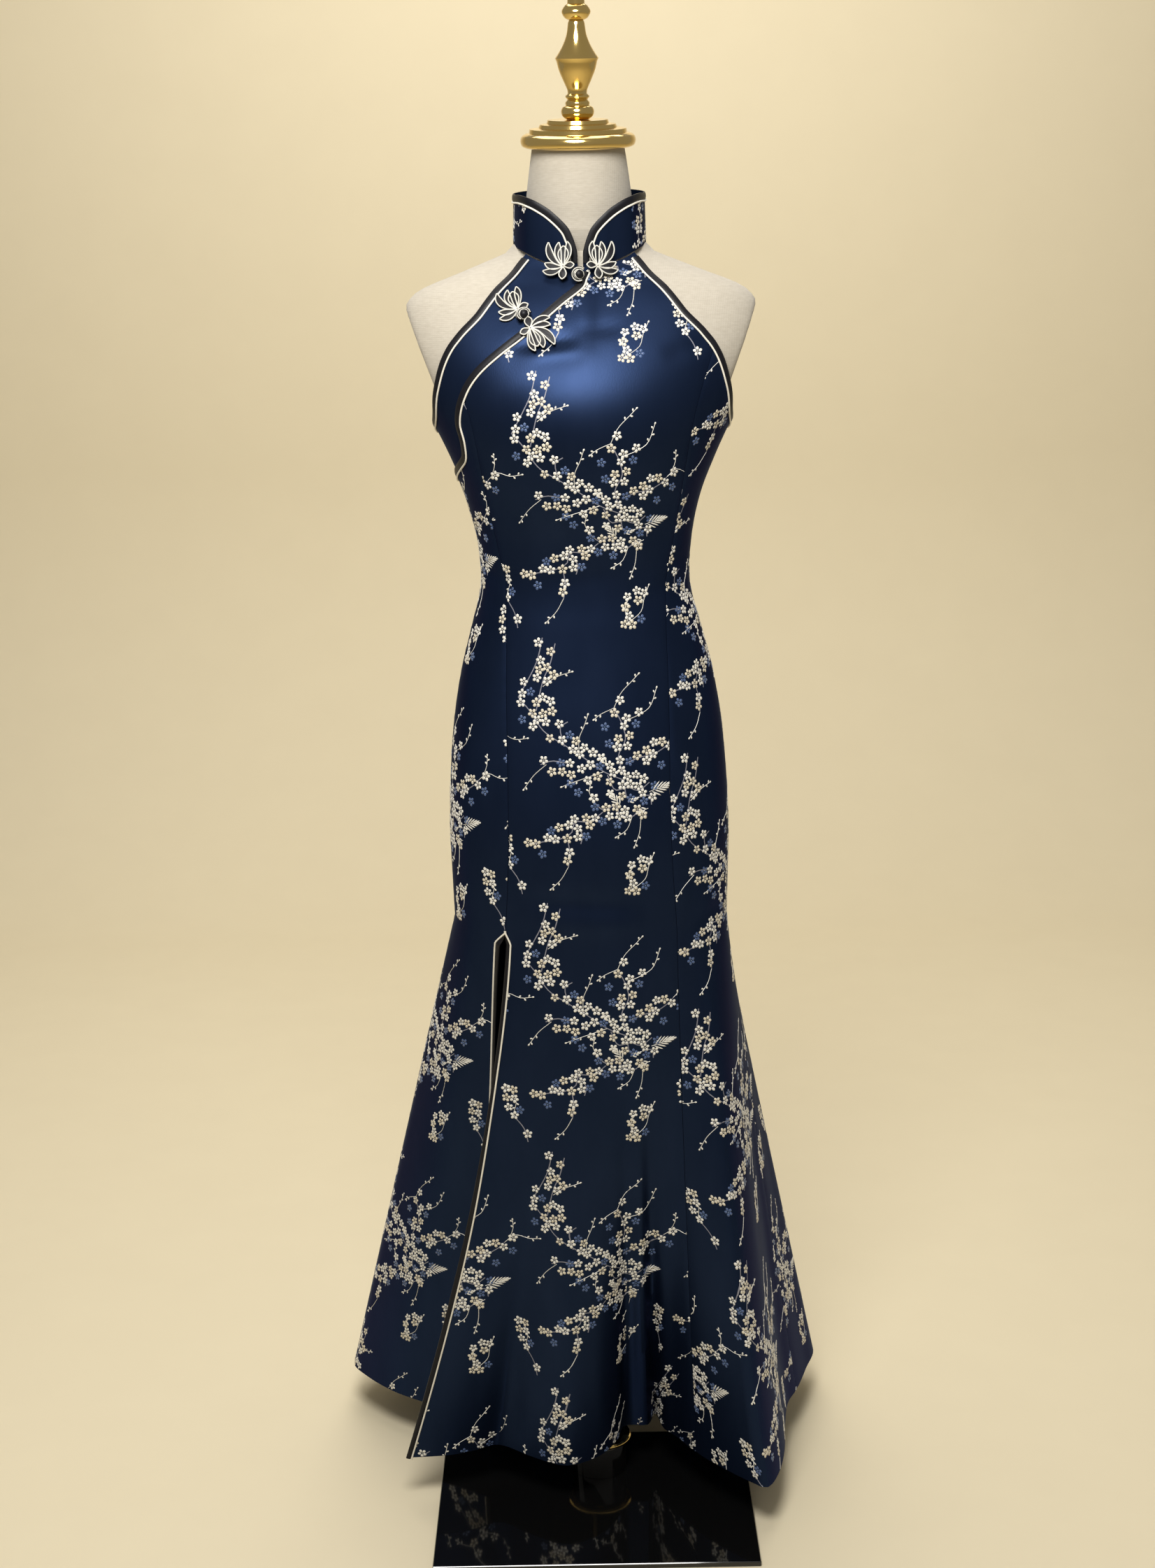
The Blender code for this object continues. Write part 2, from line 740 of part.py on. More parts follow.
def build_underlap():
    """The piece below the lap, from the armhole to an edge hidden under the front."""
    outer = trace(front_points(ARMHOLE_FRONT, -1) + [(-90.0, SIDE_TOP_Z)], UNDERLAP_ROWS)
    hidden = trace(front_points(UNDERLAP_EDGE) + [(-90.0, UNDERLAP_SIDE_Z)], UNDERLAP_ROWS)
    neck = trace(front_points(NECK_FRONT[::-1], -1) + [hidden[0]], UNDERLAP_COLUMNS)
    rows = []
    for k in range(UNDERLAP_ROWS + 1):
        bend = (1 - k / UNDERLAP_ROWS) ** 2
        row = []
        for i in range(UNDERLAP_COLUMNS + 1):
            f = i / UNDERLAP_COLUMNS
            turn, z = (mix(a, b, f) for a, b in zip(outer[k], hidden[k]))
            straight = [mix(a, b, f) for a, b in zip(outer[0], hidden[0])]
            row.append((turn + bend * (neck[i][0] - straight[0]), z + bend * (neck[i][1] - straight[1])))
        rows.append(row)
    rows[-1] = [sideways(*p, SEAM_HALF) for p in rows[-1]]
    cloth("front_underlap", rows)


class Collar:
    """The stand collar's outer face, by the distance along its foot and a height."""

    def __init__(self):
        half = [surface(*p) for p in front_points(NECK_FRONT[1:])]
        half += [Vector(COLLAR_SIDE)]
        half += [surface(*p) for p in NECK_BEHIND]
        first = surface(*front_points([(COLLAR_FRONT_X, NECK_FRONT[0][1])])[0])
        half = [first] + half
        other = [Vector((-p.x, p.y, p.z)) for p in reversed(half[:-1])]
        self.places = half + other
        self.reach = [0.0]
        for a, b in zip(self.places, self.places[1:]):
            self.reach.append(self.reach[-1] + (b - a).length)
        self.length = self.reach[-1]

    def foot(self, along):
        along = min(max(along, 0.0), self.length)
        place = Vector([spline(self.reach, [p[k] for p in self.places], along) for k in range(3)])
        place.z += COLLAR_LIFT
        return place

    def top(self, along):
        return read(COLLAR_TOP, COLLAR_TOP_COLUMNS, "z", min(along, self.length - along))

    def point(self, along, z, rise=0.0):
        foot = self.foot(along)
        ahead = self.foot(along + COLLAR_STEP) - self.foot(along - COLLAR_STEP)
        lean = Vector((0.0, -math.sin(NECK_LEAN), math.cos(NECK_LEAN)))
        out = ahead.cross(lean).normalized()
        up = (z - foot.z) / lean.z
        return foot + lean * up + out * (rise - COLLAR_TAPER * up / COLLAR_TALL)

    def edge(self):
        """Points (along, z) up one front end, round the upper edge and down the other."""
        count = 2 * COLLAR_COLUMNS // 3
        side = [self.spread(i / (2 * count)) for i in range(count + 1)]
        half = [(0.0, self.foot(0.0).z + COLLAR_TRIM_LIFT)] + [(a, self.top(a)) for a in side]
        return half + [(self.length - a, z) for a, z in reversed(half[:-1])]

    def spread(self, share):
        """Even shares along the foot, drawn together at the two front ends."""
        return self.length * (share - COLLAR_CROWDING * math.sin(2 * math.pi * share) / (2 * math.pi))


def inset(points, distance):
    """A line of flat points moved to its right by a distance."""
    moved_points = []
    for i, (a, z) in enumerate(points):
        before, after = points[max(i - 1, 0)], points[min(i + 1, len(points) - 1)]
        da, dz = after[0] - before[0], after[1] - before[1]
        size = math.hypot(da, dz)
        moved_points.append((a + distance * dz / size, z - distance * da / size))
    return moved_points


def build_collar():
    collar = Collar()
    columns = [collar.spread(i / COLLAR_COLUMNS) for i in range(COLLAR_COLUMNS + 1)]
    faces = []
    for depth in (0.0, -WALL):
        grid = []
        for j in range(COLLAR_ROWS + 1):
            share = j / COLLAR_ROWS
            heights = [mix(collar.foot(a).z, collar.top(a), share) for a in columns]
            grid.append([collar.point(a, z, depth) for a, z in zip(columns, heights)])
        faces.append(grid)
    add_wall("collar", *faces, "brocade")
    edge = collar.edge()
    outside = inset(edge, -BINDING_OVERHANG)
    inside = inset(edge, BINDING_WIDTH)
    low, high = BINDING_PROUD, BINDING_PROUD + BINDING_THICK
    sections = []
    for a, b in zip(outside, inside):
        corners = ((a, low), (b, low), (b, high), (a, high))
        sections.append([collar.point(*spot, rise) for spot, rise in corners])
    add_tube("collar_binding", sections, "binding")
    line = [collar.point(*p, PIPING_RISE) for p in inset(edge, BINDING_WIDTH + PIPING_OFFSET)]
    add_tube("collar_piping", round_sections(line, PIPING_RADIUS, PIPING_SIDES), "piping", 60.0)


def round_sections(line, radius, sides):
    """Rings around a line of points, kept from twisting."""
    sections = []
    across = None
    for i, place in enumerate(line):
        ahead = (line[min(i + 1, len(line) - 1)] - line[max(i - 1, 0)]).normalized()
        across = across or ahead.orthogonal()
        across = (across - ahead * across.dot(ahead)).normalized()
        other = ahead.cross(across)
        ring_points = []
        for k in range(sides):
            angle = 2 * math.pi * k / sides
            ring_points.append(place + (across * math.cos(angle) + other * math.sin(angle)) * radius)
        sections.append(ring_points)
    return sections


def inward_steps(path, side):
    """At each point of a path on the cloth, the unit step that leads into the panel beside it."""
    places = [surface(*p) for p in path]
    steps = []
    for i, p in enumerate(path):
        ahead = places[min(i + 1, len(path) - 1)] - places[max(i - 1, 0)]
        steps.append(directions(*p)[2].cross(ahead).normalized() * side)
    return steps


class Faces:
    """The faces of some built panels, for laying trims on."""

    def __init__(self, *names):
        verts, triangles = [], []
        for name in names:
            places, skin = OUTER_FACES[name]
            triangles += [[len(verts) + v for v in face] for face in skin]
            verts += places
        self.tree = BVHTree.FromPolygons(verts, triangles)

    def place(self, turn, z, rise):
        """The point so far out from the panels' outer faces."""
        place, out = surface(turn, z), directions(turn, z)[2]
        hit = self.tree.ray_cast(place + out * CAST_REACH, -out, 2 * CAST_REACH)[0]
        if hit is None:
            near = self.tree.find_nearest(place)[0]
            hit = place + out * (near - place).dot(out)
        return hit + out * rise

    def lay(self, lines, rise):
        """Lines of points so far out from the faces, lifted where the cloth would cut what spans them."""
        places = [[self.place(*p, rise) for p in line] for line in lines]
        outs = [[directions(*p)[2] for p in line] for line in lines]
        for i in range(len(lines[0]) - 1):
            for t in CHORD_SHARES:
                for u in (0.0, 0.5, 1.0):
                    spot, out = (
                        v[0][i].lerp(v[0][i + 1], t).lerp(v[-1][i].lerp(v[-1][i + 1], t), u)
                        for v in (places, outs)
                    )
                    hit = self.tree.ray_cast(spot + out * CAST_REACH, -out, 2 * CAST_REACH)[0]
                    short = rise - CHORD_DIP - (spot - hit).dot(out) if hit else 0.0
                    if short > 0:
                        for line, line_outs in zip(places, outs):
                            line[i] += line_outs[i] * short
                            line[i + 1] += line_outs[i + 1] * short
        return places, outs


def trim(name, path, side, faces):
    """A binding along an edge and the piping inside it. side is 1 where the panel lies left of the path."""
    steps = inward_steps(path, side)

    def inside(distance):
        return [moved(*p, step * distance) for p, step in zip(path, steps)]

    places, outs = faces.lay([inside(SEAM_HALF), inside(BINDING_WIDTH)], BINDING_PROUD)
    sections = []
    for a, b, out_a, out_b in zip(*places, *outs):
        sections.append([a, b, b + out_b * BINDING_THICK, a + out_a * BINDING_THICK])
    add_tube(name + "_binding", sections, "binding")
    (line,), _ = faces.lay([inside(BINDING_WIDTH + PIPING_OFFSET)], PIPING_RISE)
    add_tube(name + "_piping", round_sections(line, PIPING_RADIUS, PIPING_SIDES), "piping", 60.0)


def build_trims():
    front = trace(front_points(ARMHOLE_FRONT) + [(90.0, SIDE_TOP_Z)], ARMHOLE_TRIM_STEPS)
    behind = trace(ARMHOLE_BEHIND, ARMHOLE_TRIM_STEPS)
    left = joined(front, behind)[1:-1]
    trim("armhole_left", left, -1, Faces("front_centre", "front_side_left", "back_left"))
    trim("armhole_right", [(-turn, z) for turn, z in left], 1, Faces("front_underlap", "back_right"))
    lap = trace(joined(OVERLAP_TO_SEAM, OVERLAP_TO_SIDE), OVERLAP_TRIM_STEPS)
    trim("overlap", lap[1:-1], 1, Faces("front_centre", "front_side_right"))
    heights = SKIRT_ROWS[::-1]
    trim("slit_front", [(SLIT_TURN, z) for z in heights], 1, Faces("front_centre"))
    trim("slit_side", [(SLIT_TURN + 360.0, z) for z in heights], -1, Faces("front_side_right"))


def build_form():
    """The torso and neck: the cloth's own rings drawn in, with flat faces where the arms would be."""
    heights = [FORM_BOTTOM_Z] + [z for z in TORSO_ROWS if z > FORM_BOTTOM_Z]
    heights += [z for z in (row[0] for row in RINGS) if UNDERBUST_Z < z < FORM_NECK_Z]
    sections = []
    for z in heights:
        across = read(FORM_INSETS, FORM_INSET_COLUMNS, "across", z)
        along = read(FORM_INSETS, FORM_INSET_COLUMNS, "along", z)
        wide = read(RINGS, RING_COLUMNS, "half_width", z)
        section = []
        for i in range(FORM_SEGMENTS):
            place = ring(360.0 * i / FORM_SEGMENTS, z)
            deep = read(RINGS, RING_COLUMNS, "front" if place.y < 0 else "back", z)
            place.x *= (wide - across) / wide
            place.y *= (deep - along) / deep
            place.x = max(-arm_face(z), min(arm_face(z), place.x))
            section.append(place)
        sections.append(section)
    for z in (row[0] for row in NECK_RINGS):
        wide, front, back = (read(NECK_RINGS, NECK_COLUMNS, name, z) for name in NECK_COLUMNS[1:])
        tilt = smooth_step((z - FORM_NECK_Z) / NECK_TILT_SPAN)
        middle = neck_middle(z)
        section = []
        for i in range(FORM_SEGMENTS):
            angle = math.radians(360.0 * i / FORM_SEGMENTS)
            y = -math.cos(angle) * (front if math.cos(angle) > 0 else back)
            section.append(middle + Vector((math.sin(angle) * wide, y, tilt * y * math.tan(NECK_LEAN))))
        sections.append(section)
    add_tube("form_torso", sections, "linen", 50.0)


def arm_face(z):
    """How far out the form reaches at a height: its flat arm faces lean out as they rise."""
    top_x, top_z = FORM_ARM_TOP
    corner_x, corner_z = FORM_ARM_CORNER
    if z > top_z:
        return top_x + (corner_x - top_x) * (z - top_z) / (corner_z - top_z)
    if z > FORM_ARM_BOTTOM_Z:
        return top_x - (top_z - z) * FORM_ARM_SLOPE
    return top_x


def neck_middle(z):
    return NECK_FOOT + Vector((0.0, -math.tan(NECK_LEAN), 1.0)) * (z - NECK_FOOT.z)


def add_turned(name, profile, segments, finish, frame, crease=30.0):
    """A solid turned from rows of radius and height, set in a frame."""
    sections = []
    for radius, height in profile:
        section = []
        for i in range(segments):
            angle = 2 * math.pi * i / segments
            section.append(frame @ Vector((radius * math.cos(angle), radius * math.sin(angle), height)))
        sections.append(section)
    return add_tube(name, sections, finish, crease)


def build_brass():
    frame = Matrix.Translation(neck_middle(NECK_TOP_Z + GAP)) @ Matrix.Rotation(NECK_LEAN, 4, "X")
    add_turned("neck_cap", CAP_PROFILE, CAP_SEGMENTS, "brass", frame)
    add_turned("finial", FINIAL_PROFILE, FINIAL_SEGMENTS, "brass", frame)


def build_stand():
    width, depth, thick = PLATE_SIZE
    bpy.ops.mesh.primitive_cube_add(size=1.0)
    plate = bpy.context.object
    plate.name = plate.data.name = "base_plate"
    plate.data.transform(Matrix.Diagonal((width, depth, thick, 1.0)))
    plate.data.transform(Matrix.Translation((*PLATE_CENTRE, thick / 2)))
    bevel = plate.modifiers.new("edges", "BEVEL")
    bevel.width = PLATE_BEVEL
    bevel.segments = 1
    plate.data.materials.append(material("gloss"))
    upright = Matrix.Identity(4)
    foot = thick + GAP
    profile = ((SOCKET_RADIUS, foot), (SOCKET_RADIUS, SOCKET_TOP - SOCKET_BEVEL))
    profile += ((SOCKET_RADIUS - SOCKET_BEVEL, SOCKET_TOP),)
    add_turned("base_socket", profile, SOCKET_SEGMENTS, "gloss", upright)
    ring_foot = SOCKET_TOP + GAP
    profile = ((RING_RADIUS - RING_BEVEL, ring_foot), (RING_RADIUS, ring_foot + RING_BEVEL))
    profile += ((RING_RADIUS, RING_TOP - RING_BEVEL), (RING_RADIUS - RING_BEVEL, RING_TOP))
    add_turned("socket_ring", profile, SOCKET_SEGMENTS, "brass", upright)
    profile = ((POLE_RADIUS, RING_TOP + GAP), (POLE_RADIUS, FORM_BOTTOM_Z - GAP))
    add_turned("pole", profile, POLE_SEGMENTS, "brass", upright)


def frog_outline():
    """The frog's lobed outline: points (across, up) about its middle."""
    points = []
    for i in range(FROG_POINTS):
        angle = 2 * math.pi * i / FROG_POINTS
        lobe = abs(math.cos(FROG_LOBES * angle / 2)) ** FROG_LOBE_POWER
        radius = FROG_RADIUS * mix(FROG_WAIST, 1.0, lobe)
        points.append((radius * math.sin(angle), radius * math.cos(angle)))
    return points


def add_frog(name, place):
    """A flat lobed piece. place gives the point so far across, up and out of its middle."""
    outline = frog_outline()
    size = len(outline)
    verts = [place(a, b, 0.0) for a, b in outline]
    verts += [place(a * FROG_SHOULDER, b * FROG_SHOULDER, FROG_HEIGHT * FROG_EDGE) for a, b in outline]
    verts += [place(0.0, 0.0, 0.0), place(0.0, 0.0, FROG_HEIGHT)]
    faces = []
    for i in range(size):
        k = (i + 1) % size
        faces.append((i, k, size + k, size + i))
        faces.append((k, i, 2 * size))
        faces.append((size + i, size + k, 2 * size + 1))
    add(name, verts, faces, "cord", 60.0)


def add_knot(name, middle, out, toward):
    """A button knot and, around its neck, the loop that comes from the frog it points toward."""
    frame = Matrix.Translation(middle) @ out.to_track_quat("Z", "Y").to_matrix().to_4x4()
    profile = []
    for i in range(1, KNOT_RINGS):
        angle = math.pi * i / KNOT_RINGS
        profile.append((KNOT_RADIUS * math.sin(angle), -KNOT_RADIUS * math.cos(angle)))
    add_turned("knot_" + name, profile, KNOT_SEGMENTS, "cord", frame, 80.0)
    across = out.cross(toward).normalized()
    radius = KNOT_RADIUS + GAP + LOOP_THICK
    line = []
    for i in range(LOOP_STEPS + 1):
        angle = LOOP_ARC * (i / LOOP_STEPS - 0.5)
        line.append(middle - toward * radius * math.cos(angle) + across * radius * math.sin(angle))
    add_tube("loop_" + name, round_sections(line, LOOP_THICK, LOOP_SIDES), "cord", 60.0)


def build_chest_frogs():
    for name, (x, z, tilt, on_lap) in CHEST_FROGS.items():
        turn = turn_of(x, z)
        across, _, out = directions(turn, z)
        right = across.normalized()
        upward = out.cross(right)
        angle = math.radians(tilt)
        faces = Faces("front_centre", "front_side_right") if on_lap else Faces("front_underlap")

        def place(a, b, c):
            flat_a = a * math.cos(angle) - b * math.sin(angle)
            flat_b = a * math.sin(angle) + b * math.cos(angle)
            spot = moved(turn, z, right * flat_a + upward * flat_b)
            seat = FROG_SEAT
            if on_lap:
                beyond = max(0.0, FROG_REST - lap_distance(surface(*spot)))
                seat = min(FROG_OVER_TRIM, FROG_SEAT + FROG_SLOPE * beyond)
            return faces.place(*spot, seat + c)

        add_frog(name, place)
    x, z = CHEST_KNOT
    across, _, out = directions(turn_of(x, z), z)
    right = across.normalized()
    toward = (right - out.cross(right) * CHEST_KNOT_SLOPE).normalized()
    add_knot("chest", raised(turn_of(x, z), z, CHEST_KNOT_RISE), out, toward)


def build_collar_frogs():
    lean = Matrix.Rotation(math.radians(COLLAR_FROG_LEAN), 3, "X")
    for name, side in (("frog_collar_left", 1), ("frog_collar_right", -1)):
        face = Matrix.Rotation(math.radians(side * COLLAR_FROG_YAW), 3, "Z") @ lean
        middle = Vector((side * COLLAR_FROG_X, COLLAR_FROG_Y, COLLAR_FROG_Z))

        def place(a, b, c):
            return middle + face @ Vector((a, -c, b))

        add_frog(name, place)
    add_knot("collar", Vector(COLLAR_KNOT), Vector((0.0, -1.0, 0.0)), Vector((1.0, 0.0, 0.0)))


def build():
    for thing in list(bpy.data.objects):
        bpy.data.objects.remove(thing)
    build_stand()
    build_form()
    build_brass()
    build_front_centre()
    build_front_left()
    build_front_right()
    build_underlap()
    build_backs()
    build_collar()
    build_trims()
    build_chest_frogs()
    build_collar_frogs()


build()
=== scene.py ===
import math

import bmesh
import bpy
import numpy as np
from mathutils import Matrix, Vector


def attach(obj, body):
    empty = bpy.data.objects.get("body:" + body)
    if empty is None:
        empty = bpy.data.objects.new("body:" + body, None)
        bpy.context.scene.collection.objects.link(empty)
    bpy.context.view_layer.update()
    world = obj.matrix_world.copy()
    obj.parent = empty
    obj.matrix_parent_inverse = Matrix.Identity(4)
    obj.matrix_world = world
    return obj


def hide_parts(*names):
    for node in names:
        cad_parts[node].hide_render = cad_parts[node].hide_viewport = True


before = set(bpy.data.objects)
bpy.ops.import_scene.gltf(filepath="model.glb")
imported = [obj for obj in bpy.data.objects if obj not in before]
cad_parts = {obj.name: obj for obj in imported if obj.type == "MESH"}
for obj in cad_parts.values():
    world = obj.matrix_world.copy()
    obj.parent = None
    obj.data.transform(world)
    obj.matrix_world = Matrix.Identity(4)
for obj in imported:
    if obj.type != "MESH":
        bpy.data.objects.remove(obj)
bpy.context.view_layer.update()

# Driving sizes of the dress, in metres, as in the solids
CLOTH_THICK = 0.0012
HEM_Z = 0.056
KNEE_Z = 0.694
UNDERBUST_Z = 1.12
SIDE_TOP_Z = 1.2435
RIGHT_SIDE_TOP_Z = 1.190
ROUNDNESS = 2.2
NECK_LEAN = math.radians(8.0)
NECK_FOOT = np.array((0.0, 0.004, 1.440))
NECK_TOP_Z = 1.533
SLIT_OPEN_FRONT = 0.0045
SLIT_OPEN_SIDE = 0.0085
SLIT_POINT = 0.013
SLIT_FADE = 14.0
TURN_STEP = 0.25
HEIGHT_STEP = 0.001

# The rings of the dress: half width, and how far the cloth stands before and behind the axis
RING_COLUMNS = ("z", "half_width", "front", "back")
RINGS = (
    (0.694, 0.1545, 0.112, 0.128),
    (0.745, 0.1560, 0.116, 0.138),
    (0.800, 0.1570, 0.118, 0.147),
    (0.860, 0.1545, 0.115, 0.145),
    (0.920, 0.1490, 0.108, 0.130),
    (0.975, 0.1395, 0.100, 0.111),
    (1.025, 0.1265, 0.094, 0.094),
    (1.070, 0.1155, 0.091, 0.086),
    (1.120, 0.1180, 0.099, 0.092),
    (1.165, 0.1275, 0.117, 0.102),
    (1.205, 0.1430, 0.130, 0.110),
    (1.2435, 0.1610, 0.136, 0.116),
    (1.280, 0.1800, 0.132, 0.119),
    (1.320, 0.1950, 0.118, 0.117),
    (1.360, 0.1990, 0.097, 0.109),
    (1.386, 0.1850, 0.081, 0.100),
    (1.407, 0.1370, 0.065, 0.090),
    (1.425, 0.0960, 0.056, 0.080),
    (1.4375, 0.0715, 0.050, 0.072),
    (1.452, 0.0500, 0.042, 0.064),
)

# The hem seen from above, panel by panel round from the slit. Ease is how late a fold starts
HEM_COLUMNS = ("x", "y", "ease")
HEM_FRONT_CENTRE = (
    (-0.2263, -0.0662, 1.45),
    (-0.1759, -0.0614, 1.40),
    (-0.1461, -0.0507, 1.50),
    (-0.1194, -0.0382, 1.70),
    (-0.0776, -0.0698, 1.40),
    (-0.0425, -0.0908, 1.20),
    (-0.0206, -0.0850, 1.20),
    (0.0040, -0.0644, 1.40),
    (0.0210, -0.0313, 1.70),
    (0.0301, 0.0029, 1.90),
    (0.0440, 0.0050, 2.00),
    (0.0580, 0.0040, 2.05),
    (0.0680, 0.0320, 2.05),
    (0.0775, -0.0058, 1.80),
    (0.0908, -0.0253, 1.60),
    (0.1120, -0.0640, 1.30),
)
HEM_FRONT_LEFT = (
    (0.1120, -0.0640, 1.30),
    (0.1404, -0.1021, 1.30),
    (0.1730, -0.1385, 1.30),
    (0.1879, -0.1500, 1.30),
    (0.2032, -0.1204, 1.25),
    (0.2154, -0.0670, 1.20),
    (0.2221, -0.0041, 1.15),
    (0.2310, 0.0545, 1.10),
    (0.2456, 0.0908, 1.10),
)
HEM_BACK_LEFT = (
    (0.2456, 0.0908, 1.10),
    (0.2627, 0.1473, 1.05),
    (0.2771, 0.2002, 1.00),
    (0.2650, 0.2520, 1.05),
    (0.2180, 0.2620, 1.15),
    (0.1750, 0.2850, 1.20),
    (0.1500, 0.3350, 1.10),
    (0.1050, 0.3520, 1.05),
    (0.0620, 0.3180, 1.20),
    (0.0260, 0.3040, 1.30),
    (0.0000, 0.3160, 1.25),
)
HEM_BACK_RIGHT = (
    (0.0000, 0.3160, 1.25),
    (-0.0320, 0.3460, 1.15),
    (-0.0780, 0.3620, 1.05),
    (-0.1180, 0.3350, 1.15),
    (-0.1520, 0.2920, 1.25),
    (-0.2050, 0.2850, 1.20),
    (-0.2570, 0.2850, 1.05),
    (-0.2980, 0.2480, 1.00),
    (-0.3099, 0.1832, 1.00),
)
HEM_FRONT_RIGHT = (
    (-0.3099, 0.1832, 1.00),
    (-0.2927, 0.1493, 1.05),
    (-0.2567, 0.1060, 1.10),
    (-0.2228, 0.0787, 1.10),
    (-0.1700, 0.0450, 0.95),
    (-0.1250, 0.0200, 0.80),
)

# Where the seams between the centre and side fronts run, from the knee line to the armhole
PRINCESS_COLUMNS = ("z", "x")
PRINCESS = (
    (0.694, 0.0945),
    (0.795, 0.0890),
    (0.950, 0.0880),
    (1.070, 0.0875),
    (1.147, 0.1000),
    (1.240, 0.1145),
    (1.283, 0.1253),
    (1.328, 0.1405),
)

# Edges of the bodice in front view, each from its inner end outwards: x and z
OVERLAP_EDGE = (
    (0.0040, 1.4065),
    (-0.0040, 1.3890),
    (-0.0212, 1.3754),
    (-0.0539, 1.3488),
    (-0.0845, 1.3263),
    (-0.1130, 1.3015),
    (-0.1253, 1.2829),
    (-0.1328, 1.2502),
    (-0.1282, 1.2289),
    (-0.1280, 1.2130),
)
UNDERLAP_EDGE = (
    (0.0050, 1.4040),
    (0.0000, 1.3750),
    (-0.0180, 1.3520),
    (-0.0450, 1.3230),
    (-0.0720, 1.3000),
    (-0.0920, 1.2750),
    (-0.1030, 1.2450),
    (-0.1060, 1.2150),
    (-0.1100, 1.1900),
)
UNDERLAP_SIDE_Z = 1.165
NECK_FRONT = ((0.0040, 1.4065), (0.0300, 1.4105), (0.0570, 1.4225))
NECK_BACK = ((0.0620, 1.4375), (0.0350, 1.4475), (0.0000, 1.4510))
ARMHOLE_FRONT = (
    (0.0570, 1.4225),
    (0.0820, 1.3945),
    (0.1080, 1.3640),
    (0.1310, 1.3400),
    (0.1405, 1.3280),
    (0.1560, 1.2880),
    (0.1600, 1.2580),
)
ARMHOLE_BACK = (
    (0.1600, 1.2620),
    (0.1530, 1.2950),
    (0.1390, 1.3300),
    (0.1180, 1.3650),
    (0.0900, 1.4050),
    (0.0620, 1.4375),
)

# The collar's foot beside the neck, and its upper edge from the front end
COLLAR_SIDE = (0.0715, 0.004, 1.4340)
COLLAR_FRONT_X = 0.0030
COLLAR_TOP_COLUMNS = ("along", "z")
COLLAR_TOP = (
    (0.0000, 1.4200),
    (0.0020, 1.4280),
    (0.0046, 1.4360),
    (0.0085, 1.4450),
    (0.0140, 1.4520),
    (0.0227, 1.4600),
    (0.0350, 1.4690),
    (0.0500, 1.4765),
    (0.0750, 1.4820),
    (0.1050, 1.4845),
    (0.1500, 1.4900),
    (0.2150, 1.4965),
)
COLLAR_LIFT = 0.0009
COLLAR_TRIM_LIFT = 0.0045
COLLAR_TAPER = 0.0015
COLLAR_TALL = 0.060
COLLAR_STEP = 0.002
COLLAR_CROWDING = 0.6

# The lap over the chest
LAP_RISE = 0.0020
LAP_WIDTH = 0.036
LAP_FADE = 0.040
LAP_END_FADE = 0.018
LAP_LOWEST_Z = 1.100

# Creases: from one place of the cloth to another, how deep (below zero is a trough) and how wide
CREASE_COLUMNS = ("turn_a", "z_a", "turn_b", "z_b", "depth", "width")
CREASES = (
    (-24, 1.3260, 2, 1.3340, -0.0014, 0.0075),
    (-20, 1.3120, 6, 1.3200, 0.0010, 0.0110),
    (-6, 1.3420, 14, 1.3460, -0.0007, 0.0080),
    (22, 1.3150, 44, 1.3300, -0.0009, 0.0100),
    (-74, 1.0880, -34, 1.0720, -0.0017, 0.0110),
    (-70, 1.0560, -40, 1.0500, -0.0010, 0.0090),
    (72, 1.0600, 36, 1.0760, -0.0015, 0.0120),
    (74, 1.0920, 44, 1.1000, -0.0009, 0.0090),
    (-28, 1.0800, 22, 1.0880, -0.0009, 0.0140),
    (-56, 1.1750, -26, 1.1380, -0.0010, 0.0120),
    (54, 1.1680, 26, 1.1340, -0.0009, 0.0130),
    (-34, 0.7360, 26, 0.7270, -0.0016, 0.0130),
    (-26, 0.7080, 30, 0.7020, 0.0010, 0.0150),
    (8, 0.8700, 44, 0.8420, -0.0008, 0.0180),
    (-72, 0.9900, -48, 0.9660, -0.0010, 0.0130),
    (78, 0.9850, 50, 0.9520, -0.0011, 0.0140),
    (40, 0.6950, 74, 0.7150, -0.0012, 0.0130),
    (108, 1.0740, 152, 1.0840, -0.0016, 0.0120),
    (252, 1.0640, 212, 1.0760, -0.0014, 0.0110),
    (112, 1.0440, 140, 1.0380, -0.0009, 0.0100),
    (164, 1.0960, 200, 1.0900, -0.0008, 0.0140),
    (128, 0.9620, 166, 0.9440, -0.0010, 0.0160),
    (236, 0.9540, 200, 0.9330, -0.0012, 0.0150),
    (148, 0.7180, 206, 0.7260, -0.0014, 0.0140),
    (206, 1.2900, 232, 1.3060, -0.0009, 0.0120),
    (150, 1.3000, 126, 1.3180, -0.0008, 0.0110),
)
CREASE_ENDS = 0.35
CREASE_POINTS = 9
CREASE_REACH = 2.6
CREASE_SHARE = 1.5
SEAM_ROLL = 0.0006
SEAM_ROLL_WIDTH = 0.0024
PUCKER = 0.00022
PUCKER_STEP = 0.0140
PUCKER_WIDTH = 0.0090

# Rows and columns of the shown cloth
SKIRT_CELLS = 112
TORSO_CELLS = 74
BODICE_CELLS = 56
BODICE_EASE = 1.5

# Trims
BINDING_WIDTH = 0.0066
BINDING_DOME = 0.0007
BINDING_LIFT = 0.0006
BINDING_STEPS = 7
BINDING_WRAP = 0.0006
PIPING_RADIUS = 0.0010
PIPING_OFFSET = 0.0010
PIPING_RISE = 0.0010
PIPING_SIDES = 12
SEAM_HALF = 0.00025
SLIT_BINDING_WIDTH = 0.0054
SLIT_TIP = 0.0030
SLIT_TIP_STEPS = 14
SLIT_TIP_SHARE = 0.12
SLIT_CLOSED = 0.0042
SLIT_CLOSED_BELOW = 0.30
SLIT_CLOSED_FADE = 0.25


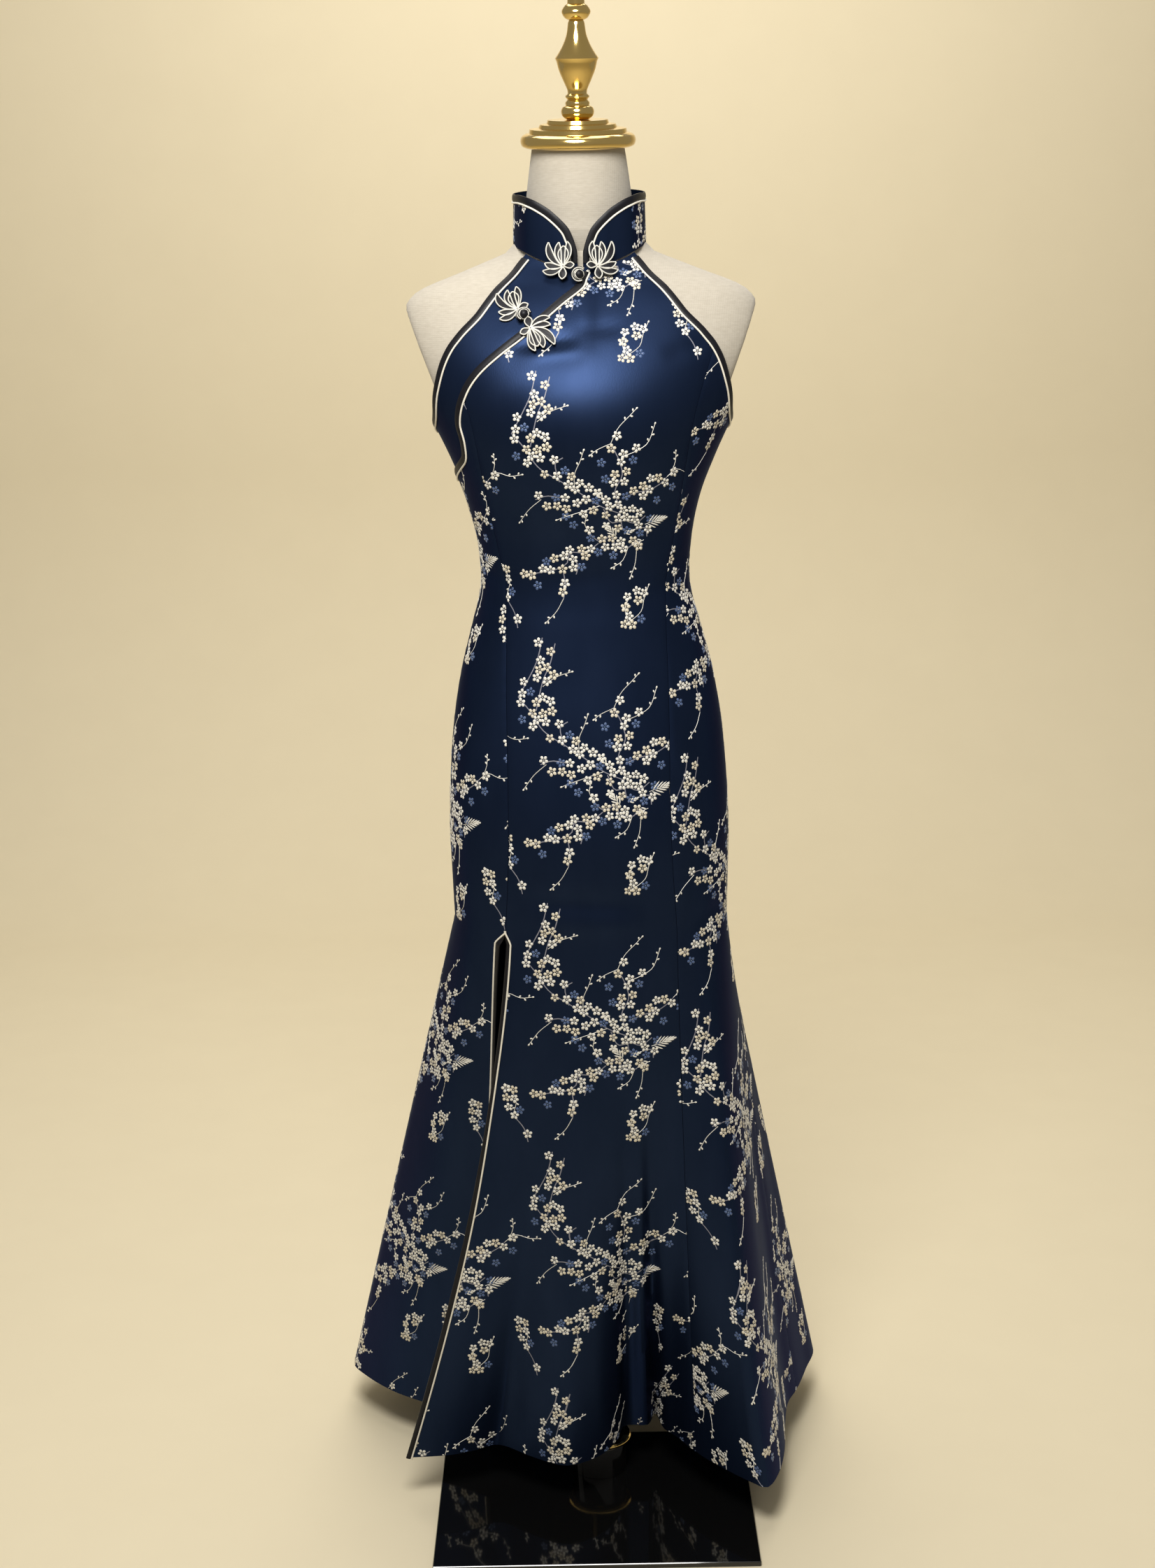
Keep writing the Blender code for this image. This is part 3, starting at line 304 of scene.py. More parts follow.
def column(row, name, columns):
    return row[columns.index(name)]


def spline(keys, values, at):
    """A smooth curve through values at rising keys."""
    keys, values = np.asarray(keys, float), np.asarray(values, float)
    at = np.clip(at, keys[0], keys[-1])
    index = np.arange(len(keys))
    low, high = np.maximum(index - 1, 0), np.minimum(index + 1, len(keys) - 1)
    slope = (values[high] - values[low]) / (keys[high] - keys[low])
    k = np.clip(np.searchsorted(keys, at, side="right") - 1, 0, len(keys) - 2)
    span = keys[k + 1] - keys[k]
    t = (at - keys[k]) / span
    h0, h1 = 2 * t**3 - 3 * t**2 + 1, t**3 - 2 * t**2 + t
    h2, h3 = 3 * t**2 - 2 * t**3, t**3 - t**2
    return h0 * values[k] + h1 * span * slope[k] + h2 * values[k + 1] + h3 * span * slope[k + 1]


def read(table, columns, name, at):
    """A table's named value, smooth between its rows."""
    return spline([row[0] for row in table], [column(row, name, columns) for row in table], at)


def smooth_step(t):
    t = np.clip(t, 0.0, 1.0)
    return t * t * (3 - 2 * t)


def mix(a, b, t):
    return a + (b - a) * t


def dot(a, b):
    return (a * b).sum(-1)


def unit(v):
    return v / np.linalg.norm(v, axis=-1, keepdims=True)


def ring(turn, z):
    """The cloth above the knee line."""
    turn, z = np.broadcast_arrays(np.asarray(turn, float), np.asarray(z, float))
    s, c = np.sin(np.radians(turn)), np.cos(np.radians(turn))
    power = 2 / ROUNDNESS
    front, back = (read(RINGS, RING_COLUMNS, name, z) for name in ("front", "back"))
    x = np.sign(s) * np.abs(s) ** power * read(RINGS, RING_COLUMNS, "half_width", z)
    y = -np.sign(c) * np.abs(c) ** power * np.where(c > 0, front, back)
    return np.stack([x, y, z], -1)


def turn_of(x, z):
    """The turn at which the front of ring z has this x."""
    share = np.minimum(np.abs(x) / read(RINGS, RING_COLUMNS, "half_width", z), 1.0)
    return np.sign(x) * np.degrees(np.arcsin(share ** (ROUNDNESS / 2)))


def behind(x, z):
    return 180.0 - turn_of(x, z)


def round_the_back(x, z):
    return 360.0 + turn_of(x, z)


def princess_turn(z):
    return turn_of(read(PRINCESS, PRINCESS_COLUMNS, "x", z), z)


SLIT_TURN = -float(princess_turn(KNEE_Z))
PANEL_TURNS = (SLIT_TURN, -SLIT_TURN, 90.0, 180.0, 270.0, SLIT_TURN + 360.0)
PANEL_HEMS = (HEM_FRONT_CENTRE, HEM_FRONT_LEFT, HEM_BACK_LEFT, HEM_BACK_RIGHT, HEM_FRONT_RIGHT)


def hem_table():
    """Every hem row with its turn. A panel's rows share its turns by their length along the hem."""
    table = []
    for start, end, hem in zip(PANEL_TURNS, PANEL_TURNS[1:], PANEL_HEMS):
        steps = [math.dist(a[:2], b[:2]) for a, b in zip(hem, hem[1:])]
        for i, row in enumerate(hem[:-1]):
            table.append((start + (end - start) * sum(steps[:i]) / sum(steps), *row))
    table.append((PANEL_TURNS[-1], *PANEL_HEMS[-1][-1]))
    return table


HEM = hem_table()
HEM_COLUMNS_BY_TURN = ("turn", *HEM_COLUMNS)


def surface(turn, z):
    """Points of the cloth's smooth outer face, before its creases."""
    turn, z = np.broadcast_arrays(np.asarray(turn, float), np.asarray(z, float))
    high = ring(turn, np.maximum(z, KNEE_Z))
    x, y, ease = (read(HEM, HEM_COLUMNS_BY_TURN, name, turn) for name in HEM_COLUMNS)
    down = np.maximum(KNEE_Z - z, 0.0) / (KNEE_Z - HEM_Z)
    share = down**ease
    opened = np.clip((KNEE_Z - z) / SLIT_POINT, 0.0, 1.0)
    from_front = np.maximum(0.0, 1 - (turn - SLIT_TURN) / SLIT_FADE) ** 2
    from_side = np.maximum(0.0, 1 - (SLIT_TURN + 360 - turn) / SLIT_FADE) ** 2
    slit = opened * (SLIT_OPEN_FRONT * (1 - down) * from_front - SLIT_OPEN_SIDE * from_side)
    low = np.stack([mix(high[..., 0], x, share) + slit, mix(high[..., 1], y, share), z], -1)
    return np.where((z >= KNEE_Z)[..., None], ring(turn, z), low)


def directions(turn, z):
    """How the cloth runs: per degree of turn, per metre of height, and its unit normal."""
    turn, z = np.broadcast_arrays(np.asarray(turn, float), np.asarray(z, float))
    low, high = turn - TURN_STEP, turn + TURN_STEP
    below = z < KNEE_Z
    low = np.where(below, np.maximum(low, SLIT_TURN), low)
    high = np.where(below, np.minimum(high, SLIT_TURN + 360), high)
    across = (surface(high, z) - surface(low, z)) / (high - low)[..., None]
    up = (surface(turn, z + HEIGHT_STEP) - surface(turn, z - HEIGHT_STEP)) / (2 * HEIGHT_STEP)
    return across, up, unit(np.cross(across, up))


def moved(turn, z, step):
    """The turn and height of the point that a step along the cloth leads to."""
    across, up, _ = directions(turn, z)
    aa, ab, bb = dot(across, across), dot(across, up), dot(up, up)
    sa, sb = dot(step, across), dot(step, up)
    det = aa * bb - ab * ab
    return turn + (sa * bb - sb * ab) / det, z + (sb * aa - sa * ab) / det


def front_points(edge, mirror=1):
    return [(float(turn_of(mirror * x, z)), z) for x, z in edge]


def back_points(edge):
    return [(180.0 - float(turn_of(x, z)), z) for x, z in edge]


def trace(points, count):
    """Evenly spaced turns and heights along a smooth curve through some points of the cloth."""
    turns, heights = np.array(points, float).T
    steps = np.linalg.norm(np.diff(surface(turns, heights), axis=0), axis=1)
    reach = np.concatenate([[0.0], np.cumsum(steps)])
    at = np.linspace(0.0, reach[-1], count + 1)
    return np.stack([spline(reach, turns, at), spline(reach, heights, at)], -1)


def joined(*curves):
    """Curves end to end, each shared end once."""
    return np.concatenate([np.asarray(curves[0])] + [np.asarray(c)[1:] for c in curves[1:]])


def near_line(places, line):
    """How far each place is from a line of points."""
    nearest = np.full(places.shape[:-1], np.inf)
    for a, b in zip(line, line[1:]):
        t = np.clip(dot(places - a, b - a) / dot(b - a, b - a), 0.0, 1.0)
        nearest = np.minimum(nearest, np.linalg.norm(places - a - t[..., None] * (b - a), axis=-1))
    return nearest


OVERLAP_TO_SEAM = front_points(OVERLAP_EDGE[:7])
OVERLAP_TO_SIDE = front_points(OVERLAP_EDGE[6:]) + [(-90.0, RIGHT_SIDE_TOP_Z)]
ARMHOLE_TO_SEAM = front_points(ARMHOLE_FRONT[:5])
ARMHOLE_TO_SIDE = front_points(ARMHOLE_FRONT[4:]) + [(90.0, SIDE_TOP_Z)]
ARMHOLE_BEHIND = [(90.0, SIDE_TOP_Z)] + back_points(ARMHOLE_BACK)
NECK_BEHIND = back_points(NECK_BACK)
LAP_EDGE = surface(*joined(OVERLAP_TO_SEAM, OVERLAP_TO_SIDE).T)


def lap_rise(turn, z):
    """How far the lapping front stands out: fully beside the lap's edge, not at all further down."""
    place = surface(turn, z)
    beside = 1 - smooth_step((near_line(place, LAP_EDGE) - LAP_WIDTH) / LAP_FADE)
    rise = LAP_RISE * beside * (1 - smooth_step((place[..., 0] - COLLAR_FRONT_X) / LAP_END_FADE))
    return np.where(z < LAP_LOWEST_Z, 0.0, rise)


def flat_rise(turn, z):
    return np.zeros(np.broadcast(turn, z).shape)


def crease_rise(places):
    """How far the creases move each place of the cloth out, or in where below zero."""
    total = np.zeros(places.shape[:-1])
    for turn_a, z_a, turn_b, z_b, depth, width in CREASES:
        line = surface(np.linspace(turn_a, turn_b, CREASE_POINTS), np.linspace(z_a, z_b, CREASE_POINTS))
        low, high = line.min(0) - CREASE_REACH * width, line.max(0) + CREASE_REACH * width
        near = ((places > low) & (places < high)).all(-1)
        spots = places[near]
        first, last = line[0], line[-1]
        along = dot(spots - first, last - first) / dot(last - first, last - first)
        ends = smooth_step(along / CREASE_ENDS) * smooth_step((1 - along) / CREASE_ENDS)
        total[near] += CREASE_SHARE * depth * np.exp(-((near_line(spots, line) / width) ** 2)) * ends
    return total


def raised(turn, z, rise=0.0):
    """Points so many metres out from the creased cloth."""
    place = surface(turn, z)
    return place + directions(turn, z)[2] * (crease_rise(place) + rise)[..., None]


def seam_rise(distance, z):
    """The roll of the cloth into a seam so far away, with the small puckers beside it."""
    roll = -SEAM_ROLL * np.exp(-((distance / SEAM_ROLL_WIDTH) ** 2))
    wave = np.sin(2 * math.pi * z / PUCKER_STEP) * np.sin(2 * math.pi * z / (PUCKER_STEP * 3.7))
    return roll + PUCKER * wave * np.exp(-((distance / PUCKER_WIDTH) ** 2))


def arc_along(places):
    """The distance along each row of points, from its first."""
    steps = np.linalg.norm(np.diff(places, axis=-2), axis=-1)
    return np.concatenate([np.zeros(steps.shape[:-1] + (1,)), np.cumsum(steps, -1)], -1)


class Panel:
    """One cut piece of cloth, between two seams and below a top edge."""

    def __init__(self, name, left, right, tops, turn_at, rise_of=flat_rise, open_side=None):
        self.name, self.left, self.right = name, left, right
        self.tops, self.turn_at, self.rise_of, self.open_side = tops, turn_at, rise_of, open_side

    def grid(self):
        """Turns and heights of the panel's points, in rows from the hem to the top edge."""
        shares = np.linspace(0.0, 1.0, len(self.tops))
        skirt = np.linspace(HEM_Z, KNEE_Z, SKIRT_CELLS)[:-1, None]
        torso = np.linspace(KNEE_Z, UNDERBUST_Z, TORSO_CELLS)[:, None]
        turns = [mix(self.left(np.full_like(skirt, KNEE_Z)), self.right(np.full_like(skirt, KNEE_Z)), shares)]
        turns.append(mix(self.left(torso), self.right(torso), shares))
        heights = [np.broadcast_to(skirt, turns[0].shape), np.broadcast_to(torso, turns[1].shape)]
        start = ring(turns[1][-1], UNDERBUST_Z)[:, 0]
        end = ring(self.tops[:, 0], self.tops[:, 1])[:, 0]
        x_shares = (start - start[0]) / (start[-1] - start[0])
        s = np.linspace(0.0, 1.0, BODICE_CELLS)[1:, None]
        left_z, right_z = (mix(UNDERBUST_Z, z, s) for z in (self.tops[0, 1], self.tops[-1, 1]))
        left_x, right_x = ring(self.left(left_z), left_z)[..., 0], ring(self.right(right_z), right_z)[..., 0]
        drift = end - mix(end[0], end[-1], x_shares)
        x = mix(left_x, right_x, x_shares) + drift * s**BODICE_EASE
        z = mix(UNDERBUST_Z, self.tops[:, 1], s)
        turns.append(self.turn_at(x, z))
        heights.append(z)
        return np.concatenate(turns), np.concatenate(heights)

    def seam_distance(self, from_left, from_right, z):
        """The distance to the nearest sewn seam; the slit's edge isn't one."""
        below = z < KNEE_Z
        left = np.where(below & (self.open_side == "left"), 1.0, from_left)
        right = np.where(below & (self.open_side == "right"), 1.0, from_right)
        return np.minimum(left, right)

    def faces(self):
        """The outer and inner points of the panel's wall."""
        turns, heights = self.grid()
        along = arc_along(surface(turns, heights))
        per_turn = np.gradient(along, axis=1) / np.gradient(turns, axis=1)
        turns[:, 0] += SEAM_HALF / per_turn[:, 0]
        turns[:, -1] -= SEAM_HALF / per_turn[:, -1]
        rise = self.rise_of(turns, heights)
        rise = rise + seam_rise(self.seam_distance(along, along[:, -1:] - along, heights), heights)
        return raised(turns, heights, rise), raised(turns, heights, rise - CLOTH_THICK)


def minus_princess(z):
    return -princess_turn(z)


def right_princess(z):
    return 360.0 - princess_turn(z)


def constant(turn):
    return lambda z: np.full(np.shape(z), turn)


def turned_round(points):
    """The same points of the wearer's right side, counted on past the back."""
    return np.stack([points[::-1, 0] % 360.0, points[::-1, 1]], -1)


def mirrored(points):
    return np.stack([360.0 - points[::-1, 0], points[::-1, 1]], -1)


def make_panels():
    front_tops = joined(
        trace(OVERLAP_TO_SEAM[::-1], 33), trace(front_points(NECK_FRONT), 9), trace(ARMHOLE_TO_SEAM, 24)
    )
    right_tops = turned_round(trace(OVERLAP_TO_SIDE, 30))
    back_tops = joined(trace(ARMHOLE_BEHIND, 32), trace(NECK_BEHIND, 16))
    left_side, back_middle, right_side = constant(90.0), constant(180.0), constant(270.0)
    return (
        Panel("front_centre", minus_princess, princess_turn, front_tops, turn_of, lap_rise, "left"),
        Panel("front_side_left", princess_turn, left_side, trace(ARMHOLE_TO_SIDE, 34), turn_of),
        Panel("front_side_right", right_side, right_princess, right_tops, round_the_back, lap_rise, "right"),
        Panel("back_left", left_side, back_middle, back_tops, behind),
        Panel("back_right", back_middle, right_side, mirrored(back_tops), behind),
    )


# Meshes
def add_mesh(name, verts, faces, materials, picks=None, crease=50.0):
    """A mesh object, facing out and shaded smooth between its creases."""
    mesh = bpy.data.meshes.new(name)
    mesh.from_pydata(np.asarray(verts).reshape(-1, 3).tolist(), [], faces)
    shape = bmesh.new()
    shape.from_mesh(mesh)
    bmesh.ops.recalc_face_normals(shape, faces=shape.faces)
    shape.to_mesh(mesh)
    shape.free()
    for made in materials:
        mesh.materials.append(made)
    if picks is not None:
        mesh.polygons.foreach_set("material_index", np.asarray(picks, np.int32))
    mesh.shade_smooth()
    mesh.set_sharp_from_angle(angle=math.radians(crease))
    mesh.validate()
    thing = bpy.data.objects.new(name, mesh)
    bpy.context.scene.collection.objects.link(thing)
    return thing


def dress_up(thing, slot, *nodes):
    """Puts a piece on the body and hides the solids it stands for."""
    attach(thing, "root")
    if nodes:
        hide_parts(*nodes)
    return thing


def quads(rows, columns, start=0, wrap=False):
    """The faces of a grid of points stored row by row."""
    j, i = np.meshgrid(np.arange(rows - 1), np.arange(columns if wrap else columns - 1), indexing="ij")
    k = (i + 1) % columns
    corners = (j * columns + i, j * columns + k, (j + 1) * columns + k, (j + 1) * columns + i)
    return (np.stack(corners, -1).reshape(-1, 4) + start).tolist()


def shell(name, outer, inner, materials):
    """A closed wall between two grids of points."""
    rows, columns = outer.shape[:2]
    count = rows * columns
    faces = quads(rows, columns) + [face[::-1] for face in quads(rows, columns, count)]
    rim = list(range(columns)) + [j * columns + columns - 1 for j in range(1, rows)]
    rim += [(rows - 1) * columns + i for i in reversed(range(columns - 1))]
    rim += [j * columns for j in reversed(range(1, rows - 1))]
    faces += [(b, a, a + count, b + count) for a, b in zip(rim, rim[1:] + rim[:1])]
    return add_mesh(name, np.concatenate([outer.reshape(-1, 3), inner.reshape(-1, 3)]), faces, materials)


def tube(name, sections, materials, crease=60.0):
    """A solid through an array of sections, each with the same number of points."""
    rows, columns = sections.shape[:2]
    faces = quads(rows, columns, wrap=True)
    faces.append(list(range(columns))[::-1])
    faces.append(list(range((rows - 1) * columns, rows * columns)))
    return add_mesh(name, sections, faces, materials, crease=crease)


def round_sections(line, radius, sides, closed=False):
    """Rings around a line of points, kept from twisting."""
    line = np.asarray(line, float)
    if closed:
        ahead = unit(np.roll(line, -1, 0) - np.roll(line, 1, 0))
    else:
        ahead = unit(np.gradient(line, axis=0))
    across = np.zeros_like(line)
    start = np.cross(ahead[0], (0.0, 0.0, 1.0))
    across[0] = start if np.linalg.norm(start) > 0.1 else np.cross(ahead[0], (1.0, 0.0, 0.0))
    across[0] = unit(across[0])
    for i in range(1, len(line)):
        across[i] = unit(across[i - 1] - ahead[i] * dot(across[i - 1], ahead[i]))
    other = np.cross(ahead, across)
    angle = 2 * math.pi * np.arange(sides) / sides
    radius = np.broadcast_to(radius, len(line))[:, None, None]
    spokes = across[:, None] * np.cos(angle)[None, :, None] + other[:, None] * np.sin(angle)[None, :, None]
    return line[:, None] + spokes * radius


# Materials
def new_material(name, colour, roughness, metallic=0.0, **more):
    """A material, its node tree and its shader. more names other sockets of the shader."""
    made = bpy.data.materials.new(name)
    made.use_nodes = True
    tree = made.node_tree
    shader = tree.nodes["Principled BSDF"]
    shader.inputs["Base Color"].default_value = (*colour, 1.0)
    shader.inputs["Roughness"].default_value = roughness
    shader.inputs["Metallic"].default_value = metallic
    for key, value in more.items():
        shader.inputs[key.replace("_", " ")].default_value = value
    return made, tree, shader


def noise(tree, scale, stretch=(1.0, 1.0, 1.0), detail=3.0):
    """A noise over the object's own places, stretched along its axes."""
    place = tree.nodes.new("ShaderNodeTexCoord")
    mapping = tree.nodes.new("ShaderNodeMapping")
    mapping.inputs["Scale"].default_value = stretch
    texture = tree.nodes.new("ShaderNodeTexNoise")
    texture.inputs["Scale"].default_value = scale
    texture.inputs["Detail"].default_value = detail
    tree.links.new(place.outputs["Object"], mapping.inputs["Vector"])
    tree.links.new(mapping.outputs["Vector"], texture.inputs["Vector"])
    return texture.outputs["Fac"]


def bump(tree, shader, height, strength, distance):
    node = tree.nodes.new("ShaderNodeBump")
    node.inputs["Strength"].default_value = strength
    node.inputs["Distance"].default_value = distance
    tree.links.new(height, node.inputs["Height"])
    tree.links.new(node.outputs["Normal"], shader.inputs["Normal"])


def tint(tree, shader, fac, dark, light):
    """The base colour between two colours."""
    ramp = tree.nodes.new("ShaderNodeMix")
    ramp.data_type = "RGBA"
    ramp.inputs[6].default_value = (*dark, 1.0)
    ramp.inputs[7].default_value = (*light, 1.0)
    tree.links.new(fac, ramp.inputs[0])
    tree.links.new(ramp.outputs[2], shader.inputs["Base Color"])


def threads(tree, spacing):
    """Crossing threads so far apart, as a height."""
    place = tree.nodes.new("ShaderNodeTexCoord")
    waves = []
    for direction in ("X", "Z"):
        wave = tree.nodes.new("ShaderNodeTexWave")
        wave.bands_direction = direction
        wave.inputs["Scale"].default_value = math.pi / 10 / spacing
        wave.inputs["Distortion"].default_value = 1.2
        wave.inputs["Detail"].default_value = 1.0
        tree.links.new(place.outputs["Object"], wave.inputs["Vector"])
        waves.append(wave.outputs["Fac"])
    both = tree.nodes.new("ShaderNodeMath")
    both.operation = "MULTIPLY"
    for i, wave in enumerate(waves):
        tree.links.new(wave, both.inputs[i])
    return both.outputs[0]


def satin_material():
    """Satin as mostly mirror-like: the base colour is its gloss head-on, the tint its gloss from the side."""
    made, tree, shader = new_material(
        "navy_satin", (0.011, 0.020, 0.048), 0.41, 0.8, Specular_IOR_Level=0.25, Anisotropic=0.3,
        Specular_Tint=(0.20, 0.29, 0.50, 1.0),
    )
    tint(tree, shader, noise(tree, 26.0, (1, 1, 0.4)), (0.009, 0.017, 0.043), (0.015, 0.026, 0.062))
    bump(tree, shader, noise(tree, 900.0, (1, 1, 0.06), 2.0), 0.25, 0.0002)
    return made


def thread_material(name, dark, light, roughness=0.42, sheen=0.3, gloss=0.6):
    made, tree, shader = new_material(
        name, light, roughness, Specular_IOR_Level=gloss, Sheen_Weight=sheen, Sheen_Roughness=0.4
    )
    tint(tree, shader, noise(tree, 160.0), dark, light)
    bump(tree, shader, noise(tree, 2400.0, (1, 1, 0.3), 2.0), 0.35, 0.0002)
    return made


def make_materials():
    linen, tree, shader = new_material("linen", (0.62, 0.52, 0.40), 0.92, Sheen_Weight=0.15)
    tint(tree, shader, noise(tree, 130.0, (1, 1, 4)), (0.37, 0.33, 0.265), (0.49, 0.45, 0.375))
    bump(tree, shader, threads(tree, 0.0011), 0.5, 0.0004)
    brass, tree, shader = new_material("brass", (0.86, 0.62, 0.22), 0.13, 1.0)
    bump(tree, shader, noise(tree, 500.0, (1, 1, 1), 1.0), 0.04, 0.0001)
    gloss, tree, shader = new_material(
        "gloss", (0.004, 0.004, 0.004), 0.07, Coat_Weight=0.4, Coat_Roughness=0.04
    )
    bump(tree, shader, noise(tree, 18.0), 0.05, 0.0004)
    return {
        "satin": satin_material(),
        "silver": thread_material("silver_silk", (0.60, 0.58, 0.52), (0.82, 0.80, 0.73)),
        "cream": thread_material("cream_silk", (0.52, 0.47, 0.36), (0.74, 0.68, 0.55)),
        "blue": thread_material("blue_silk", (0.035, 0.065, 0.15), (0.07, 0.12, 0.26), 0.45),
        "pale_blue": thread_material("pale_blue_silk", (0.12, 0.20, 0.34), (0.20, 0.30, 0.46)),
        "lilac": thread_material("lilac_silk", (0.15, 0.15, 0.18), (0.25, 0.25, 0.29)),
        "binding": thread_material(
            "black_satin", (0.003, 0.003, 0.005), (0.007, 0.007, 0.010), 0.46, 0.0, 0.25
        ),
        "piping": thread_material("ivory_satin", (0.66, 0.62, 0.52), (0.82, 0.78, 0.68), 0.36),
        "cord": thread_material("silver_cord", (0.42, 0.41, 0.36), (0.66, 0.64, 0.57), 0.34),
        "linen": linen,
        "brass": brass,
        "gloss": gloss,
    }


STUFF = make_materials()

# The brocade: one repeat, in millimetres from the middle of its densest cluster, right and up.
# A row is a branch: its points, the blossoms along it, and whether a twig with buds ends it
REPEAT_WIDTH = 0.200
REPEAT_HEIGHT = 0.290
BRANCHES = (
    (((-84, 152), (-90, 128), (-100, 108), (-112, 88)), 6, False),
    (((-112, 88), (-98, 72), (-84, 52), (-60, 36), (-42, 24), (-20, 8), (2, -2)), 12, False),
    (((-70, 146), (-76, 124), (-84, 106), (-92, 74)), 4, False),
    (((-84, 100), (-70, 110), (-52, 116)), 1, True),
    (((-62, 36), (-66, 56), (-58, 62)), 2, False),
    (((-46, 26), (-46, 44), (-40, 58), (-36, 70)), 2, True),
    (((2, 4), (-4, 24), (4, 42), (0, 60), (-8, 76)), 8, False),
    (((-8, 76), (0, 92), (12, 104), (20, 112)), 1, True),
    (((-8, 76), (-22, 70), (-30, 64)), 1, True),
    (((4, 62), (20, 68), (32, 76), (40, 96)), 2, True),
    (((4, 16), (20, 22), (34, 24), (50, 32), (56, 38)), 5, False),
    (((56, 38), (68, 46), (84, 42), (98, 44)), 1, True),
    (((60, 40), (66, 54), (66, 66)), 1, True),
    (((-20, 8), (-38, 2), (-56, -4), (-66, -8)), 4, True),
    (((-60, 18), (-76, 20), (-88, 16)), 3, False),
    (((-82, 16), (-96, 4), (-108, -12)), 0, True),
    (((-16, 4), (-8, -12), (6, -10), (18, -14), (30, -6)), 6, False),
    (((2, -4), (6, -22), (30, -20), (32, -30)), 4, False),
    (((-32, -24), (-20, -34), (-8, -28), (-4, -38), (10, -42), (20, -34), (26, -42)), 8, False),
    (((-30, -26), (-36, -14), (-34, -4)), 1, True),
    (((-22, -36), (-36, -46), (-52, -46), (-56, -58), (-72, -66), (-86, -68), (-102, -72)), 11, False),
    (((-52, -48), (-44, -60), (-46, -70)), 2, False),
    (((-60, -66), (-58, -82), (-60, -96)), 3, False),
    (((-60, -96), (-68, -110), (-80, -122)), 0, True),
    (((10, -42), (4, -56), (-8, -64)), 1, True),
    (((20, -42), (18, -60), (12, -76)), 0, True),
    (((10, -126), (6, -108), (10, -98)), 2, True),
    (((8, -124), (24, -112), (28, -98), (34, -84)), 3, True),
    (((66, -60), (76, -78), (72, -96)), 3, True),
    (((72, -96), (84, -112), (88, -128)), 2, False),
)
CLUSTER_COLUMNS = ("right", "up", "long", "wide", "tilt", "blossoms")
CLUSTERS = (
    (5, -8, 27, 17, -14, 22),
    (1, 40, 32, 9, 84, 10),
    (33, 28, 21, 8, 24, 6),
    (-34, 24, 26, 9, -26, 9),
    (-90, 72, 20, 13, 48, 11),
    (-82, 116, 14, 10, 90, 6),
    (-62, 10, 20, 8, 14, 5),
    (0, -35, 28, 8, -6, 8),
    (-54, -52, 31, 12, 20, 15),
    (-94, -69, 10, 6, 10, 3),
    (-59, -88, 9, 5, 80, 2),
    (18, -100, 19, 11, 62, 6),
    (12, -121, 11, 6, 20, 3),
    (72, -84, 16, 6, 110, 4),
)
BLUE_BLOSSOMS = (
    (-56, 48), (-66, 18), (-56, -4), (-98, 94), (-108, 64), (16, 58), (-14, 38), (-18, 56), (8, 18),
    (-30, -30), (-22, -46), (24, -26), (9, -22), (-78, -56), (-88, -82), (-40, -62), (-48, -14),
    (64, 26), (80, -90), (24, -120), (-24, 14), (44, 12), (36, -10), (-6, -50),
)
TUFT_COLUMNS = ("right", "up", "heading", "length", "leaves")
TUFTS = (
    (-2, -30, 128, 21, 8),
    (6, -26, 20, 13, 6),
    (30, -16, 14, 30, 11),
    (28, -34, 200, 15, 6),
    (-16, 14, 130, 14, 5),
)
BLOSSOM_SPACING = 8.7
CLUSTER_TRIES = 40
PETAL_REACH = 3.40
PETAL_LONG = 2.40
PETAL_WIDE = 2.00
HEART_RADIUS = 0.80
BUD_RADIUS = 1.35
TWIG_STEP = 5.0
BRANCH_WIDE = 1.00
TUFT_ROOTS = 0.72
TUFT_LEAF_WIDE = 0.95
TUFT_STEM_WIDE = 0.6
TWIG_WIDE = 0.66
THREAD_TOP = 0.00034
THREAD_SHOULDER = 0.00027
THREAD_ROOT = -0.00030
MM = 0.001
DOME, RIDGE = 0, 1
REPEAT_MM = np.array((REPEAT_WIDTH, REPEAT_HEIGHT)) / MM


